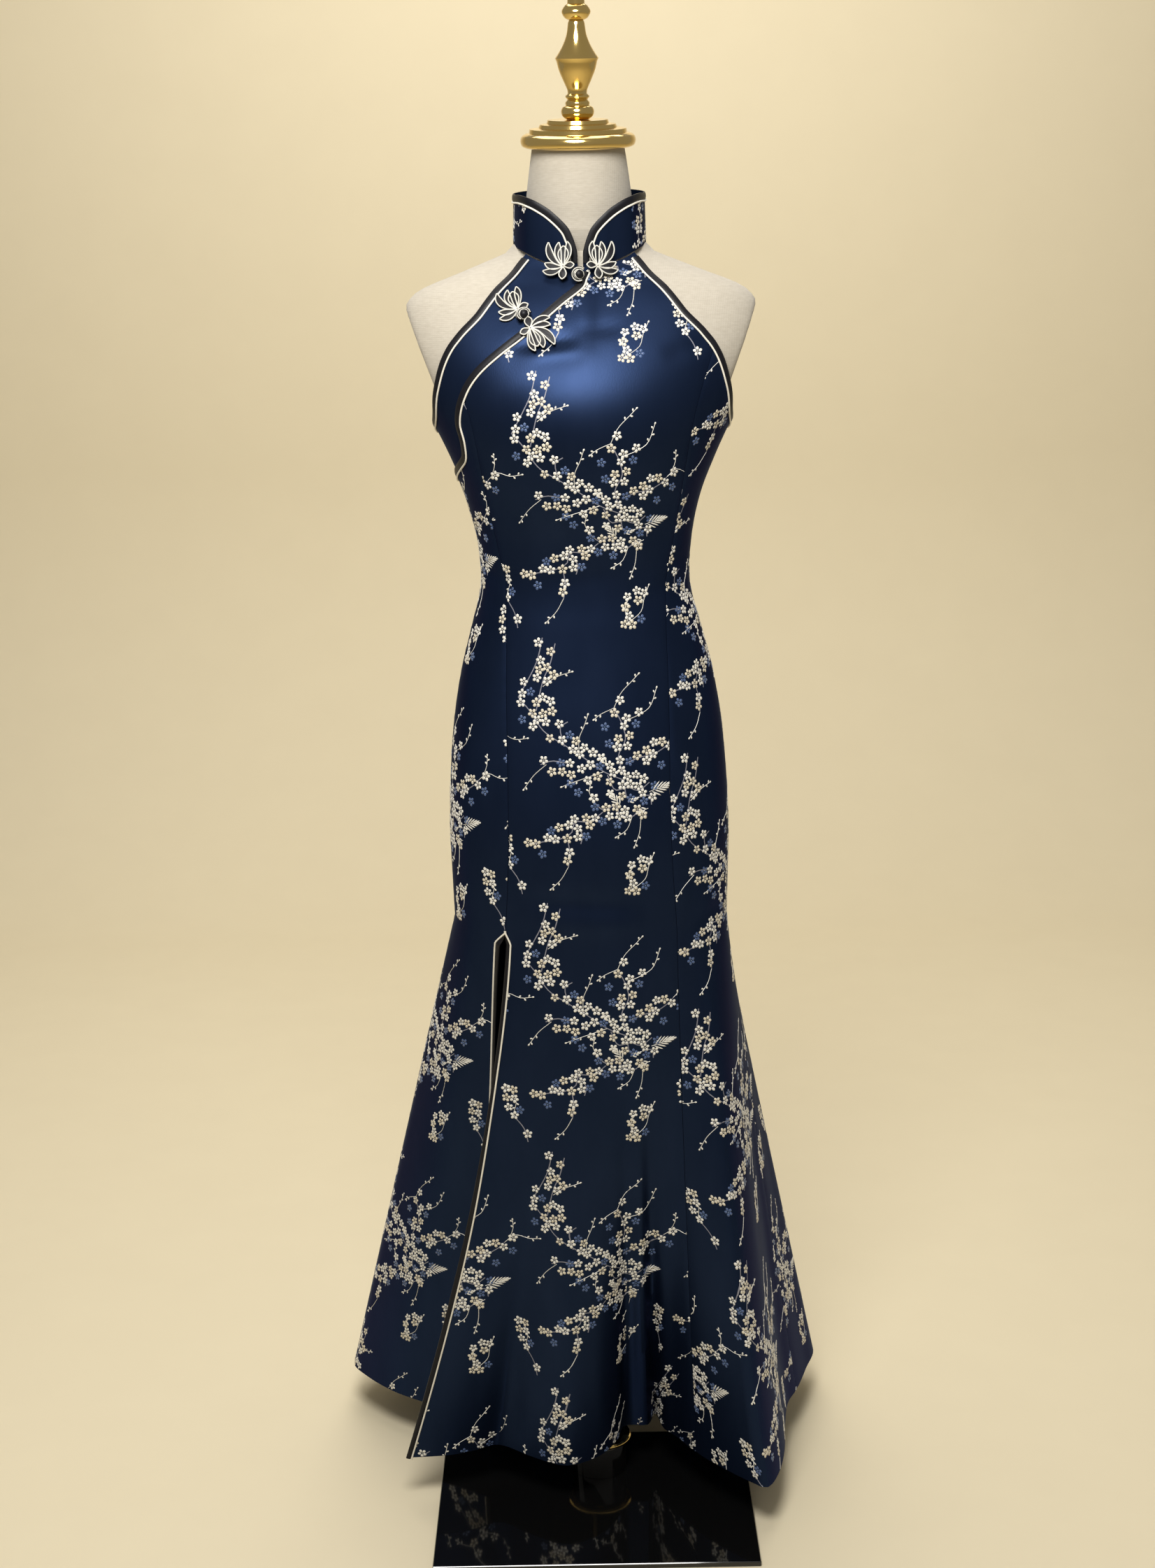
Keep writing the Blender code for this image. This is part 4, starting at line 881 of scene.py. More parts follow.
class Motifs:
    """The repeat's woven pieces, each a low dome or ridge: where it is, its shape, kind and colour."""

    def __init__(self):
        self.rows = []
        self.placed = []
        self.random = np.random.default_rng(7)

    def dome(self, at, angle, long, wide, stuff, kind=DOME):
        self.rows.append((at[0], at[1], angle, long, wide, kind, stuff))

    def free(self, at):
        """Whether a blossom here keeps clear of those already placed, in this repeat and the next ones."""
        for other in self.placed:
            apart = np.abs(np.array(at) - other) % REPEAT_MM
            if math.hypot(*np.minimum(apart, REPEAT_MM - apart)) < BLOSSOM_SPACING:
                return False
        return True

    def blossom(self, at, stuff, size=1.0):
        if not self.free(at):
            return False
        self.placed.append(np.array(at, float))
        turn = self.random.uniform(0, 2 * math.pi)
        for k in range(5):
            angle = turn + 2 * math.pi * k / 5
            reach = PETAL_REACH * size
            spot = (at[0] + reach * math.cos(angle), at[1] + reach * math.sin(angle))
            self.dome(spot, angle, PETAL_LONG * size, PETAL_WIDE * size, stuff)
        heart = "pale_blue" if stuff == "blue" else stuff
        self.dome(at, 0.0, HEART_RADIUS * size, HEART_RADIUS * size, heart)
        return True

    def cluster(self, right, up, long, wide, tilt, blossoms):
        """Blossoms packed side by side in an oval."""
        tilt = math.radians(tilt)
        for _ in range(CLUSTER_TRIES * blossoms):
            reach, angle = math.sqrt(self.random.random()), self.random.uniform(0, 2 * math.pi)
            a, b = long * reach * math.cos(angle), wide * reach * math.sin(angle)
            at = (
                right + a * math.cos(tilt) - b * math.sin(tilt),
                up + a * math.sin(tilt) + b * math.cos(tilt),
            )
            stuff = "cream" if self.random.random() < 0.35 else "silver"
            blossoms -= self.blossom(at, stuff, self.random.uniform(0.92, 1.06))
            if not blossoms:
                break

    def line(self, points, wide, stuff):
        """A thin branch as a row of ridges."""
        reach = arc_along(np.array(points, float))
        steps = max(2, round(reach[-1] / TWIG_STEP))
        x, y = (spline(reach, [p[k] for p in points], np.linspace(0, reach[-1], steps + 1)) for k in (0, 1))
        for a, b, c, d in zip(x, y, x[1:], y[1:]):
            angle = math.atan2(d - b, c - a)
            long = math.hypot(c - a, d - b) / 2
            self.dome(((a + c) / 2, (b + d) / 2), angle, long * 1.08, wide, stuff, RIDGE)

    def branch(self, points, blossoms, twig):
        self.line(points, TWIG_WIDE if twig else BRANCH_WIDE, "silver" if twig else "lilac")
        reach = arc_along(np.array(points, float))
        end = reach[-1] * (0.45 if twig else 1.0)
        for i in range(blossoms):
            at = end * (i + 0.5) / blossoms
            spot = np.array([spline(reach, [p[k] for p in points], at) for k in (0, 1)])
            ahead = np.array([spline(reach, [p[k] for p in points], at + 1.0) for k in (0, 1)]) - spot
            side = (2.6 if i % 2 else -2.6) + self.random.uniform(-1.0, 1.0)
            spot = spot + side * np.array((-ahead[1], ahead[0])) / max(math.hypot(*ahead), 0.1)
            stuff = "cream" if self.random.random() < 0.35 else "silver"
            self.blossom(spot, stuff, self.random.uniform(0.92, 1.08))
        if twig:
            self.buds(points, reach)

    def buds(self, points, reach):
        for share, side in ((0.62, 1), (0.76, -1), (0.88, 1), (1.0, 0)):
            at = reach[-1] * share
            spot = np.array([spline(reach, [p[k] for p in points], at) for k in (0, 1)])
            back = np.array([spline(reach, [p[k] for p in points], at - 1.0) for k in (0, 1)])
            ahead = math.atan2(*(spot - back)[::-1]) + side * 0.9
            tip = spot + 2.4 * abs(side) * np.array((math.cos(ahead), math.sin(ahead)))
            self.dome(tip, ahead, BUD_RADIUS * 1.25, BUD_RADIUS * 0.85, "silver")
            if side:
                self.dome((spot + tip) / 2, ahead, 1.4, TWIG_WIDE, "silver", RIDGE)

    def tuft(self, right, up, heading, length, leaves):
        heading = math.radians(heading)
        ahead = np.array((math.cos(heading), math.sin(heading)))
        for i in range(leaves):
            share = (i + 1) / leaves
            side = 1 if i % 2 else -1
            spread = heading + side * mix(0.75, 0.12, share)
            root = np.array((right, up)) + length * TUFT_ROOTS * share * ahead
            long = length * mix(0.24, 0.16, share)
            spot = root + long * np.array((math.cos(spread), math.sin(spread)))
            self.dome(spot, spread, long, TUFT_LEAF_WIDE, "silver")
        end = (right + length * ahead[0], up + length * ahead[1])
        self.line(((right, up), end), TUFT_STEM_WIDE, "silver")

    def weave(self):
        for at in BLUE_BLOSSOMS:
            self.blossom(at, "blue", 0.95)
        for row in CLUSTERS:
            self.cluster(*row)
        for points, blossoms, twig in BRANCHES:
            self.branch(points, blossoms, twig)
        for row in TUFTS:
            self.tuft(*row)
        return self.rows


THREADS = ("silver", "cream", "blue", "pale_blue", "lilac")
REPEAT = Motifs().weave()
REPEAT_SHAPE = np.array([row[:6] for row in REPEAT])
REPEAT_SHAPE[:, (0, 1, 3, 4)] *= MM
REPEAT_STUFF = np.array([THREADS.index(row[6]) for row in REPEAT])
DOME_SIDES = 6


def dome_template():
    """A low dome of unit size: right, up and height; the bottom lies inside the cloth."""
    angle = 2 * math.pi * np.arange(DOME_SIDES) / DOME_SIDES
    circle = np.stack([np.cos(angle), np.sin(angle)], -1)
    top = np.array([[0.0, 0.0, THREAD_TOP]])
    shoulder = np.column_stack([circle * 0.78, np.full(DOME_SIDES, THREAD_SHOULDER)])
    root = np.column_stack([circle, np.full(DOME_SIDES, THREAD_ROOT)])
    faces = []
    for i in range(DOME_SIDES):
        k = (i + 1) % DOME_SIDES
        faces.append((0, 1 + i, 1 + k))
        faces.append((1 + i, 1 + DOME_SIDES + i, 1 + DOME_SIDES + k))
        faces.append((1 + i, 1 + DOME_SIDES + k, 1 + k))
    for i in range(1, DOME_SIDES - 1):
        faces.append((1 + DOME_SIDES, 2 + DOME_SIDES + i, 1 + DOME_SIDES + i))
    return np.concatenate([top, shoulder, root]), np.array(faces)


RIDGE_POINTS = np.array(
    (
        (-1, -1, THREAD_ROOT),
        (1, -1, THREAD_ROOT),
        (1, 1, THREAD_ROOT),
        (-1, 1, THREAD_ROOT),
        (-1, 0, THREAD_TOP),
        (1, 0, THREAD_TOP),
    )
)
RIDGE_FACES = np.array(
    ((0, 1, 5), (0, 5, 4), (2, 3, 4), (2, 4, 5), (1, 2, 5), (3, 0, 4), (3, 2, 1), (3, 1, 0))
)
TEMPLATES = (dome_template(), (RIDGE_POINTS, RIDGE_FACES))


def repeats_over(low, high, shift):
    """The woven pieces inside a rectangle of cloth: right, up, angle, long, wide, kind and colour."""
    found = []
    first = np.floor((np.array(low) - shift) / (REPEAT_WIDTH, REPEAT_HEIGHT)) - 1
    last = np.ceil((np.array(high) - shift) / (REPEAT_WIDTH, REPEAT_HEIGHT)) + 1
    for i in range(int(first[0]), int(last[0]) + 1):
        for j in range(int(first[1]), int(last[1]) + 1):
            rows = REPEAT_SHAPE.copy()
            rows[:, 0] += shift[0] + i * REPEAT_WIDTH
            rows[:, 1] += shift[1] + j * REPEAT_HEIGHT
            found.append(np.column_stack([rows, REPEAT_STUFF]))
    found = np.concatenate(found)
    inside = (found[:, :2] > low).all(1) & (found[:, :2] < high).all(1)
    return found[inside]


def thread_places(rows, points):
    """The points of some woven pieces of one kind: right, up and height, by piece and point."""
    c, s = np.cos(rows[:, 2])[:, None], np.sin(rows[:, 2])[:, None]
    a = rows[:, 3][:, None] * points[None, :, 0]
    b = rows[:, 4][:, None] * points[None, :, 1]
    right = rows[:, 0][:, None] + a * c - b * s
    up = rows[:, 1][:, None] + a * s + b * c
    return right, up, np.broadcast_to(points[:, 2], right.shape)


def add_threads(name, rows, lay):
    """One mesh of many woven pieces. lay gives the places for right, up and height."""
    verts, faces, picks, start = [], [], [], 0
    for kind, (points, shape) in enumerate(TEMPLATES):
        some = rows[rows[:, 5] == kind]
        places = lay(*thread_places(some, points)).reshape(-1, 3)
        offsets = start + np.arange(len(some)) * len(points)
        verts.append(places)
        faces.append((shape[None] + offsets[:, None, None]).reshape(-1, 3))
        picks.append(np.repeat(some[:, 6].astype(int), len(shape)))
        start += len(places)
    materials = [STUFF[thread] for thread in THREADS]
    faces = np.concatenate(faces).tolist()
    return add_mesh(name, np.concatenate(verts), faces, materials, np.concatenate(picks), 80.0)


def inside_outline(turns, heights, outline):
    """Whether each place lies inside a closed outline of turns and heights."""
    inside = np.zeros(turns.shape, bool)
    for (a, b), (c, d) in zip(outline, np.roll(outline, -1, 0)):
        between = (b > heights) != (d > heights)
        if b != d:
            inside ^= between & (turns < (c - a) * (heights - b) / (d - b) + a)
    return inside


CUT_BELOW = 0.012
CUT_TOP_Z = 1.46
CUT_ROW_STEP = 0.004
CUT_SPAN = (-0.12, 1.12)
CUT_TURNS = 260
CUT_REACH = 0.36
CUT_CELLS = 361
CUT_CELL_STEP = 0.002


class Cut:
    """Cloth coordinates on a panel: right from its middle line, and up along it, in metres."""

    def __init__(self, panel):
        self.panel = panel
        self.heights = np.arange(HEM_Z - CUT_BELOW, CUT_TOP_Z, CUT_ROW_STEP)
        z = self.heights[:, None]
        left, right = panel.left(np.maximum(z, KNEE_Z)), panel.right(np.maximum(z, KNEE_Z))
        turns = left + (right - left) * np.linspace(*CUT_SPAN, CUT_TURNS)
        along = arc_along(surface(turns, z))
        middle = (left + right)[:, 0] / 2
        zero = np.array([np.interp(m, t, a) for m, t, a in zip(middle, turns, along)])
        self.rights = np.linspace(-CUT_REACH, CUT_REACH, CUT_CELLS)
        self.turns = np.array([np.interp(self.rights, a - o, t) for a, o, t in zip(along, zero, turns)])
        self.left = np.array([np.interp(e, t, a) - o for e, t, a, o in zip(left[:, 0], turns, along, zero)])
        self.right = np.array([np.interp(e, t, a) - o for e, t, a, o in zip(right[:, 0], turns, along, zero)])
        steps = np.linalg.norm(np.diff(surface(middle, self.heights), axis=0), axis=1)
        self.ups = np.concatenate([[0.0], np.cumsum(steps)])

    def turn_and_height(self, right, up):
        z = np.interp(up, self.ups, self.heights)
        row = np.clip((z - self.heights[0]) / CUT_ROW_STEP, 0, len(self.heights) - 1.001)
        cell = np.clip((right - self.rights[0]) / CUT_CELL_STEP, 0, len(self.rights) - 1.001)
        j, i = row.astype(int), cell.astype(int)
        f, g = row - j, cell - i
        low = mix(self.turns[j, i], self.turns[j, i + 1], g)
        high = mix(self.turns[j + 1, i], self.turns[j + 1, i + 1], g)
        return mix(low, high, f), z

    def edges(self, z):
        return np.interp(z, self.heights, self.left), np.interp(z, self.heights, self.right)


TOP_CLEAR = 0.0035
MOTIF_MARGIN = 0.004
SEAM_CLEAR = 0.0006


def weave_panel(panel, shift):
    """The brocade's motifs on one panel, cut off at its seams and hem."""
    cut = Cut(panel)
    low = (cut.left.min() - MOTIF_MARGIN, MOTIF_MARGIN)
    high = (cut.right.max() + MOTIF_MARGIN, cut.ups[-1])
    rows = repeats_over(low, high, np.array(shift))
    turns, heights = cut.turn_and_height(rows[:, 0], rows[:, 1])
    sides = np.linspace(HEM_Z, KNEE_Z, 3)
    z_left = np.concatenate([sides, np.linspace(KNEE_Z, panel.tops[0, 1], 30)[1:]])
    z_right = np.concatenate([sides, np.linspace(KNEE_Z, panel.tops[-1, 1], 30)[1:]])
    left = np.column_stack([panel.left(np.maximum(z_left, KNEE_Z)), z_left])
    right = np.column_stack([panel.right(np.maximum(z_right, KNEE_Z)), z_right])
    outline = np.concatenate([left, panel.tops, right[::-1]])
    keep = inside_outline(turns, heights, outline)
    keep &= near_line(surface(turns, heights), surface(*panel.tops.T)) > TOP_CLEAR

    def lay(right, up, height):
        edge_left, edge_right = cut.edges(np.interp(up, cut.ups, cut.heights))
        right = np.clip(right, edge_left + SEAM_CLEAR, edge_right - SEAM_CLEAR)
        turns, heights = cut.turn_and_height(right, up)
        heights = np.maximum(heights, HEM_Z + SEAM_CLEAR)
        distance = panel.seam_distance(right - edge_left, edge_right - right, heights)
        rise = panel.rise_of(turns, heights) + seam_rise(distance, heights) + height
        return raised(turns, heights, rise)

    return add_threads(panel.name + "_blossoms", rows[keep], lay)


# Where the repeat's middle falls on each panel: right of its middle line and up from below the hem
PANEL_SHIFTS = {
    "front_centre": (0.036, 0.247),
    "front_side_left": (0.045, 0.120),
    "front_side_right": (-0.030, 0.225),
    "back_left": (0.020, 0.175),
    "back_right": (-0.060, 0.250),
}


def make_cloth():
    made = {}
    for panel in make_panels():
        outer, inner = panel.faces()
        piece = shell(panel.name + "_cloth", outer, inner, [STUFF["satin"]])
        dress_up(piece, "brocade", panel.name)
        motifs = dress_up(weave_panel(panel, PANEL_SHIFTS[panel.name]), "brocade")
        made[panel.name] = (piece, motifs, outer)
    return made


UNDERLAP_ROWS = 60
UNDERLAP_COLUMNS = 40


def make_underlap():
    """The piece below the lap, from the armhole to an edge hidden under the front."""
    outer = trace(front_points(ARMHOLE_FRONT, -1) + [(-90.0, SIDE_TOP_Z)], UNDERLAP_ROWS)
    hidden = trace(front_points(UNDERLAP_EDGE) + [(-90.0, UNDERLAP_SIDE_Z)], UNDERLAP_ROWS)
    neck = trace(front_points(NECK_FRONT[::-1], -1) + [tuple(hidden[0])], UNDERLAP_COLUMNS)
    f = np.linspace(0.0, 1.0, UNDERLAP_COLUMNS + 1)[None, :, None]
    bend = ((1 - np.linspace(0.0, 1.0, UNDERLAP_ROWS + 1)) ** 2)[:, None, None]
    grid = mix(outer[:, None], hidden[:, None], f)
    grid = grid + bend * (neck[None] - mix(outer[0], hidden[0], f))
    grid = grid[::-1]
    turns, heights = grid[..., 0], grid[..., 1]
    faces = raised(turns, heights), raised(turns, heights, np.full(turns.shape, -CLOTH_THICK))
    piece = shell("front_underlap_cloth", *faces, [STUFF["satin"]])
    dress_up(piece, "brocade", "front_underlap")
    return piece, turns, heights


class Collar:
    """The stand collar's outer face, by the distance along its foot and a height."""

    def __init__(self):
        first = surface(*front_points([(COLLAR_FRONT_X, NECK_FRONT[0][1])])[0])
        half = [first] + [surface(*p) for p in front_points(NECK_FRONT[1:])] + [np.array(COLLAR_SIDE)]
        half += [surface(*p) for p in NECK_BEHIND]
        other = [p * (-1, 1, 1) for p in reversed(half[:-1])]
        self.places = np.array(half + other)
        self.reach = arc_along(self.places)
        self.length = self.reach[-1]

    def foot(self, along):
        place = np.stack([spline(self.reach, self.places[:, k], along) for k in range(3)], -1)
        return place + (0.0, 0.0, COLLAR_LIFT)

    def top(self, along):
        return read(COLLAR_TOP, COLLAR_TOP_COLUMNS, "z", np.minimum(along, self.length - along))

    def point(self, along, z, rise=0.0):
        foot = self.foot(along)
        ahead = self.foot(along + COLLAR_STEP) - self.foot(along - COLLAR_STEP)
        lean = np.array((0.0, -math.sin(NECK_LEAN), math.cos(NECK_LEAN)))
        out = unit(np.cross(ahead, lean))
        up = (z - foot[..., 2]) / lean[2]
        return foot + lean * up[..., None] + out * (rise - COLLAR_TAPER * up / COLLAR_TALL)[..., None]

    def spread(self, share):
        return self.length * (share - COLLAR_CROWDING * np.sin(2 * math.pi * share) / (2 * math.pi))

    def edge(self, steps):
        """Points (along, z) up one front end, round the upper edge and down the other."""
        side = self.spread(np.linspace(0.0, 0.5, steps))
        half = np.column_stack([side, self.top(side)])
        half = np.concatenate([[(0.0, self.foot(np.array(0.0))[2] + COLLAR_TRIM_LIFT)], half])
        return np.concatenate([half, (half * (-1, 1) + (self.length, 0))[::-1][1:]])


def inset(points, distance):
    """A line of flat points moved to its right by a distance."""
    ahead = unit(np.gradient(points, axis=0))
    return points + distance * np.column_stack([ahead[:, 1], -ahead[:, 0]])


COLLAR_COLUMNS = 220
COLLAR_ROWS = 14
COLLAR_EDGE_STEPS = 110
COLLAR_SHIFT = (0.075, 1.412)
COLLAR_BARE = 0.058
COLLAR_ZONE = (1.40, 1.50)
COLLAR_FOOT_CLEAR = 0.003


def make_collar():
    collar = Collar()
    along = collar.spread(np.linspace(0.0, 1.0, COLLAR_COLUMNS + 1))[None]
    share = np.linspace(0.0, 1.0, COLLAR_ROWS + 1)[:, None]
    z = mix(collar.foot(along)[..., 2], collar.top(along), share)
    along = np.broadcast_to(along, z.shape)
    rise = np.zeros(z.shape)
    outer, inner = collar.point(along, z, rise), collar.point(along, z, rise - CLOTH_THICK)
    piece = shell("collar_cloth", outer, inner, [STUFF["satin"]])
    dress_up(piece, "brocade", "collar")
    low, high = (COLLAR_BARE, COLLAR_ZONE[0]), (collar.length - COLLAR_BARE, COLLAR_ZONE[1])
    rows = repeats_over(low, high, np.array(COLLAR_SHIFT))
    foot, top = collar.foot(rows[:, 0])[:, 2], collar.top(rows[:, 0])
    rows = rows[(rows[:, 1] > foot + COLLAR_FOOT_CLEAR) & (rows[:, 1] < top - TOP_CLEAR)]
    motifs = add_threads("collar_blossoms", rows, collar.point)
    dress_up(motifs, "brocade")
    edge = collar.edge(COLLAR_EDGE_STEPS)

    def place(inward, rise):
        return collar.point(*inset(edge, inward).T, np.full(len(edge), rise))

    binding = tube("collar_binding_cloth", binding_sections(place), [STUFF["binding"]])
    dress_up(binding, "binding", "collar_binding")
    line = place(BINDING_WIDTH + PIPING_OFFSET, PIPING_RISE)
    piping = tube("collar_piping_cord", round_sections(line, PIPING_RADIUS, PIPING_SIDES), [STUFF["piping"]])
    dress_up(piping, "piping", "collar_piping")
    return piece


def binding_sections(place, width=BINDING_WIDTH):
    """Sections of a binding folded over an edge. place gives points so far in from the edge, and out."""
    section = [(-BINDING_WRAP, -CLOTH_THICK * 0.8), (-BINDING_WRAP, BINDING_LIFT * 0.6)]
    for k in range(BINDING_STEPS + 1):
        share = k / BINDING_STEPS
        section.append((width * share, BINDING_LIFT + BINDING_DOME * math.sin(math.pi * share) ** 0.6))
    section += [(width, -0.0003), (0.0002, -0.0003), (0.0, -CLOTH_THICK * 0.8)]
    return np.stack([place(inward, rise) for inward, rise in section], 1)


def trim(name, path, side, rise_of, width=BINDING_WIDTH, shift=0.0, share=1.0):
    """A binding along an edge and the piping inside it. side is 1 where the panel lies left of the path.

    shift moves both inwards, and share narrows them, at each point of the path.
    """
    turns, heights = path.T
    places = surface(turns, heights)
    out = directions(turns, heights)[2]
    inward = unit(np.cross(out, np.gradient(places, axis=0))) * side

    def place(distance, rise):
        step = np.broadcast_to((distance + shift) * share, turns.shape)
        t, z = moved(turns, heights, inward * step[:, None])
        return raised(t, z, rise_of(t, z) + rise)

    binding = tube(name + "_binding_cloth", binding_sections(place, width), [STUFF["binding"]])
    dress_up(binding, "binding", name + "_binding")
    line = place(width + PIPING_OFFSET, PIPING_RISE)
    piping = tube(name + "_piping_cord", round_sections(line, PIPING_RADIUS, PIPING_SIDES), [STUFF["piping"]])
    dress_up(piping, "piping", name + "_piping")


def make_trims():
    front = trace(front_points(ARMHOLE_FRONT) + [(90.0, SIDE_TOP_Z)], 90)
    left = joined(front, trace(ARMHOLE_BEHIND, 90))[2:-2]
    trim("armhole_left", left, -1, flat_rise)
    trim("armhole_right", left * (-1, 1), 1, flat_rise)
    lap = trace(joined(OVERLAP_TO_SEAM, OVERLAP_TO_SIDE), 110)[2:-2]
    trim("overlap", lap, 1, lap_rise)
    tip = np.linspace(KNEE_Z + SLIT_TIP, KNEE_Z - SLIT_POINT, SLIT_TIP_STEPS)
    heights = np.concatenate([tip, np.linspace(KNEE_Z - SLIT_POINT, HEM_Z, 110)[1:]])
    shift = -SLIT_CLOSED * smooth_step((heights - SLIT_CLOSED_BELOW) / SLIT_CLOSED_FADE)
    share = mix(SLIT_TIP_SHARE, 1.0, smooth_step((KNEE_Z + SLIT_TIP - heights) / (SLIT_TIP + SLIT_POINT)))
    for name, turn, side in (("slit_front", SLIT_TURN, 1), ("slit_side", SLIT_TURN + 360.0, -1)):
        path = np.column_stack([np.full(len(heights), turn), heights])
        trim(name, path, side, flat_rise, SLIT_BINDING_WIDTH, shift, share)


# Frogs: cord loops from one middle point. Heading and bend in degrees, sizes in millimetres
LOOP_COLUMNS = ("heading", "bend", "long", "wide")
FROG_LOOPS = (
    (86, 4, 17.5, 9.0),
    (52, 50, 22.0, 5.6),
    (20, 72, 27.0, 5.6),
    (120, -46, 22.0, 5.4),
    (168, 10, 9.5, 5.4),
    (-12, 44, 17.0, 5.2),
    (-44, 64, 19.0, 5.4),
    (-90, 6, 11.0, 6.4),
)
FROG_ROOT = (-2.0, -6.0)
FROG_SCALE = 1.22
CORD_RADIUS = 0.00072
PAD_TALL = 0.0016
CORD_RISE = 0.0019
FROG_SEAT = 0.0004
LOOP_STEPS = 26


def loop_line(heading, bend, long, wide):
    """The outline of one loop, flat, from the root out and back, in metres."""
    s = np.linspace(0.0, 1.0, LOOP_STEPS)
    angle = np.radians(heading + bend * s)
    steps = np.column_stack([np.cos(angle), np.sin(angle)]) * long / LOOP_STEPS
    spine = np.cumsum(steps, 0) + FROG_ROOT
    side = np.column_stack([-np.sin(angle), np.cos(angle)])
    half = wide / 2 * np.sin(math.pi * s**1.35) ** 0.75
    half[-1] = half[-2] * 0.55
    outline = np.concatenate([spine + side * half[:, None], (spine - side * half[:, None])[::-1]])
    return outline * MM * FROG_SCALE, spine * MM * FROG_SCALE


def frog_mesh(name, place, node, flip=1):
    """A flower of black satin pads edged with silver cord. place(a, b, c) is across, up and out."""
    verts, faces, picks = [], [], []
    for heading, bend, long, wide in FROG_LOOPS:
        outline, spine = loop_line(heading, bend, long, wide)
        outline[:, 0] *= flip
        spine[:, 0] *= flip
        middle = np.concatenate([spine, spine[::-1]])
        rings = []
        for share, tall in ((1.30, 0.0), (1.25, 0.6), (1.0, 0.9), (0.5, 1.0)):
            flat = middle + (outline - middle) * share
            rings.append(place(flat[:, 0], flat[:, 1], np.full(len(flat), PAD_TALL * tall)))
        pad = np.stack(rings)
        start = sum(len(v) for v in verts)
        faces += quads(len(rings), len(outline), start, wrap=True)
        faces.append([start + i for i in range(len(outline))][::-1])
        faces.append([start + (len(rings) - 1) * len(outline) + i for i in range(len(outline))])
        picks += [0] * ((len(rings) - 1) * len(outline) + 2)
        verts.append(pad.reshape(-1, 3))
        line = place(outline[:, 0], outline[:, 1], np.full(len(outline), CORD_RISE))
        sections = round_sections(line, CORD_RADIUS, 8)
        start += len(verts[-1])
        faces += quads(*sections.shape[:2], start, wrap=True)
        faces.append([start + i for i in range(8)][::-1])
        faces.append([start + (len(line) - 1) * 8 + i for i in range(8)])
        picks += [1] * ((len(line) - 1) * 8 + 2)
        verts.append(sections.reshape(-1, 3))
    piece = add_mesh(name, np.concatenate(verts), faces, [STUFF["binding"], STUFF["cord"]], picks, 60.0)
    return dress_up(piece, "cord", node)


CHEST_FROG_COLUMNS = ("node", "x", "z", "tilt", "flip", "on_lap")
CHEST_FROGS = (
    ("frog_chest_upper", -0.0705, 1.3700, 20.0, -1, False),
    ("frog_chest_lower", -0.0480, 1.3375, 200.0, -1, True),
)
OVER_TRIM = 0.0024
COLLAR_FROG_X = 0.0195
COLLAR_FROG_Z = 1.4150
COLLAR_FROG_YAW = 14.0
COLLAR_FROG_Y = -0.0736
COLLAR_FROG_LEAN = -16.0


def make_frogs():
    for node, x, z, tilt, flip, on_lap in CHEST_FROGS:
        turn = float(turn_of(x, z))
        across, _, out = directions(turn, z)
        right = unit(across)
        upward = np.cross(out, right)
        angle = math.radians(tilt)

        def place(a, b, c):
            flat_a = a * math.cos(angle) - b * math.sin(angle)
            flat_b = a * math.sin(angle) + b * math.cos(angle)
            step = right * flat_a[:, None] + upward * flat_b[:, None]
            turns, heights = moved(np.full(len(a), turn), np.full(len(a), z), step)
            rise = lap_rise(turns, heights) + OVER_TRIM if on_lap else 0.0
            return raised(turns, heights, c + FROG_SEAT + rise)

        frog_mesh(node + "_cords", place, node, flip)
    lean = Matrix.Rotation(math.radians(COLLAR_FROG_LEAN), 3, "X")
    for node, side in (("frog_collar_left", 1), ("frog_collar_right", -1)):
        turned = np.array(Matrix.Rotation(math.radians(side * COLLAR_FROG_YAW), 3, "Z") @ lean)
        middle = np.array((side * COLLAR_FROG_X, COLLAR_FROG_Y, COLLAR_FROG_Z))

        def place(a, b, c):
            return middle + np.column_stack([a, -c, b]) @ turned.T

        frog_mesh(node + "_cords", place, node, side)


KNOT_RADIUS = 0.0052
KNOT_STEPS = 14
KNOT_SIDES = 24
KNOT_BANDS = ((0.0, 0.35), (62.0, 0.80), (118.0, 0.80))
BAND_RADIUS = 0.00055
COLLAR_KNOT = (-0.0020, -0.0837, 1.4000)
CHEST_KNOT = (-0.0590, 1.3570)
CHEST_KNOT_RISE = 0.0070
CHEST_KNOT_SLOPE = 1.2
LOOP_GAP = 0.0003
LOOP_ARC = math.radians(240.0)
LOOP_THICK = 0.0014
LOOP_POINTS = 30


def hoop(name, line, radius, sides, material):
    """A closed ring of cord along a line of points."""
    sections = round_sections(line, radius, sides, closed=True)
    rows = len(sections)
    faces = quads(rows, sides, wrap=True)
    last = (rows - 1) * sides
    faces += [(last + i, last + (i + 1) % sides, (i + 1) % sides, i) for i in range(sides)]
    return add_mesh(name, sections, faces, [material])


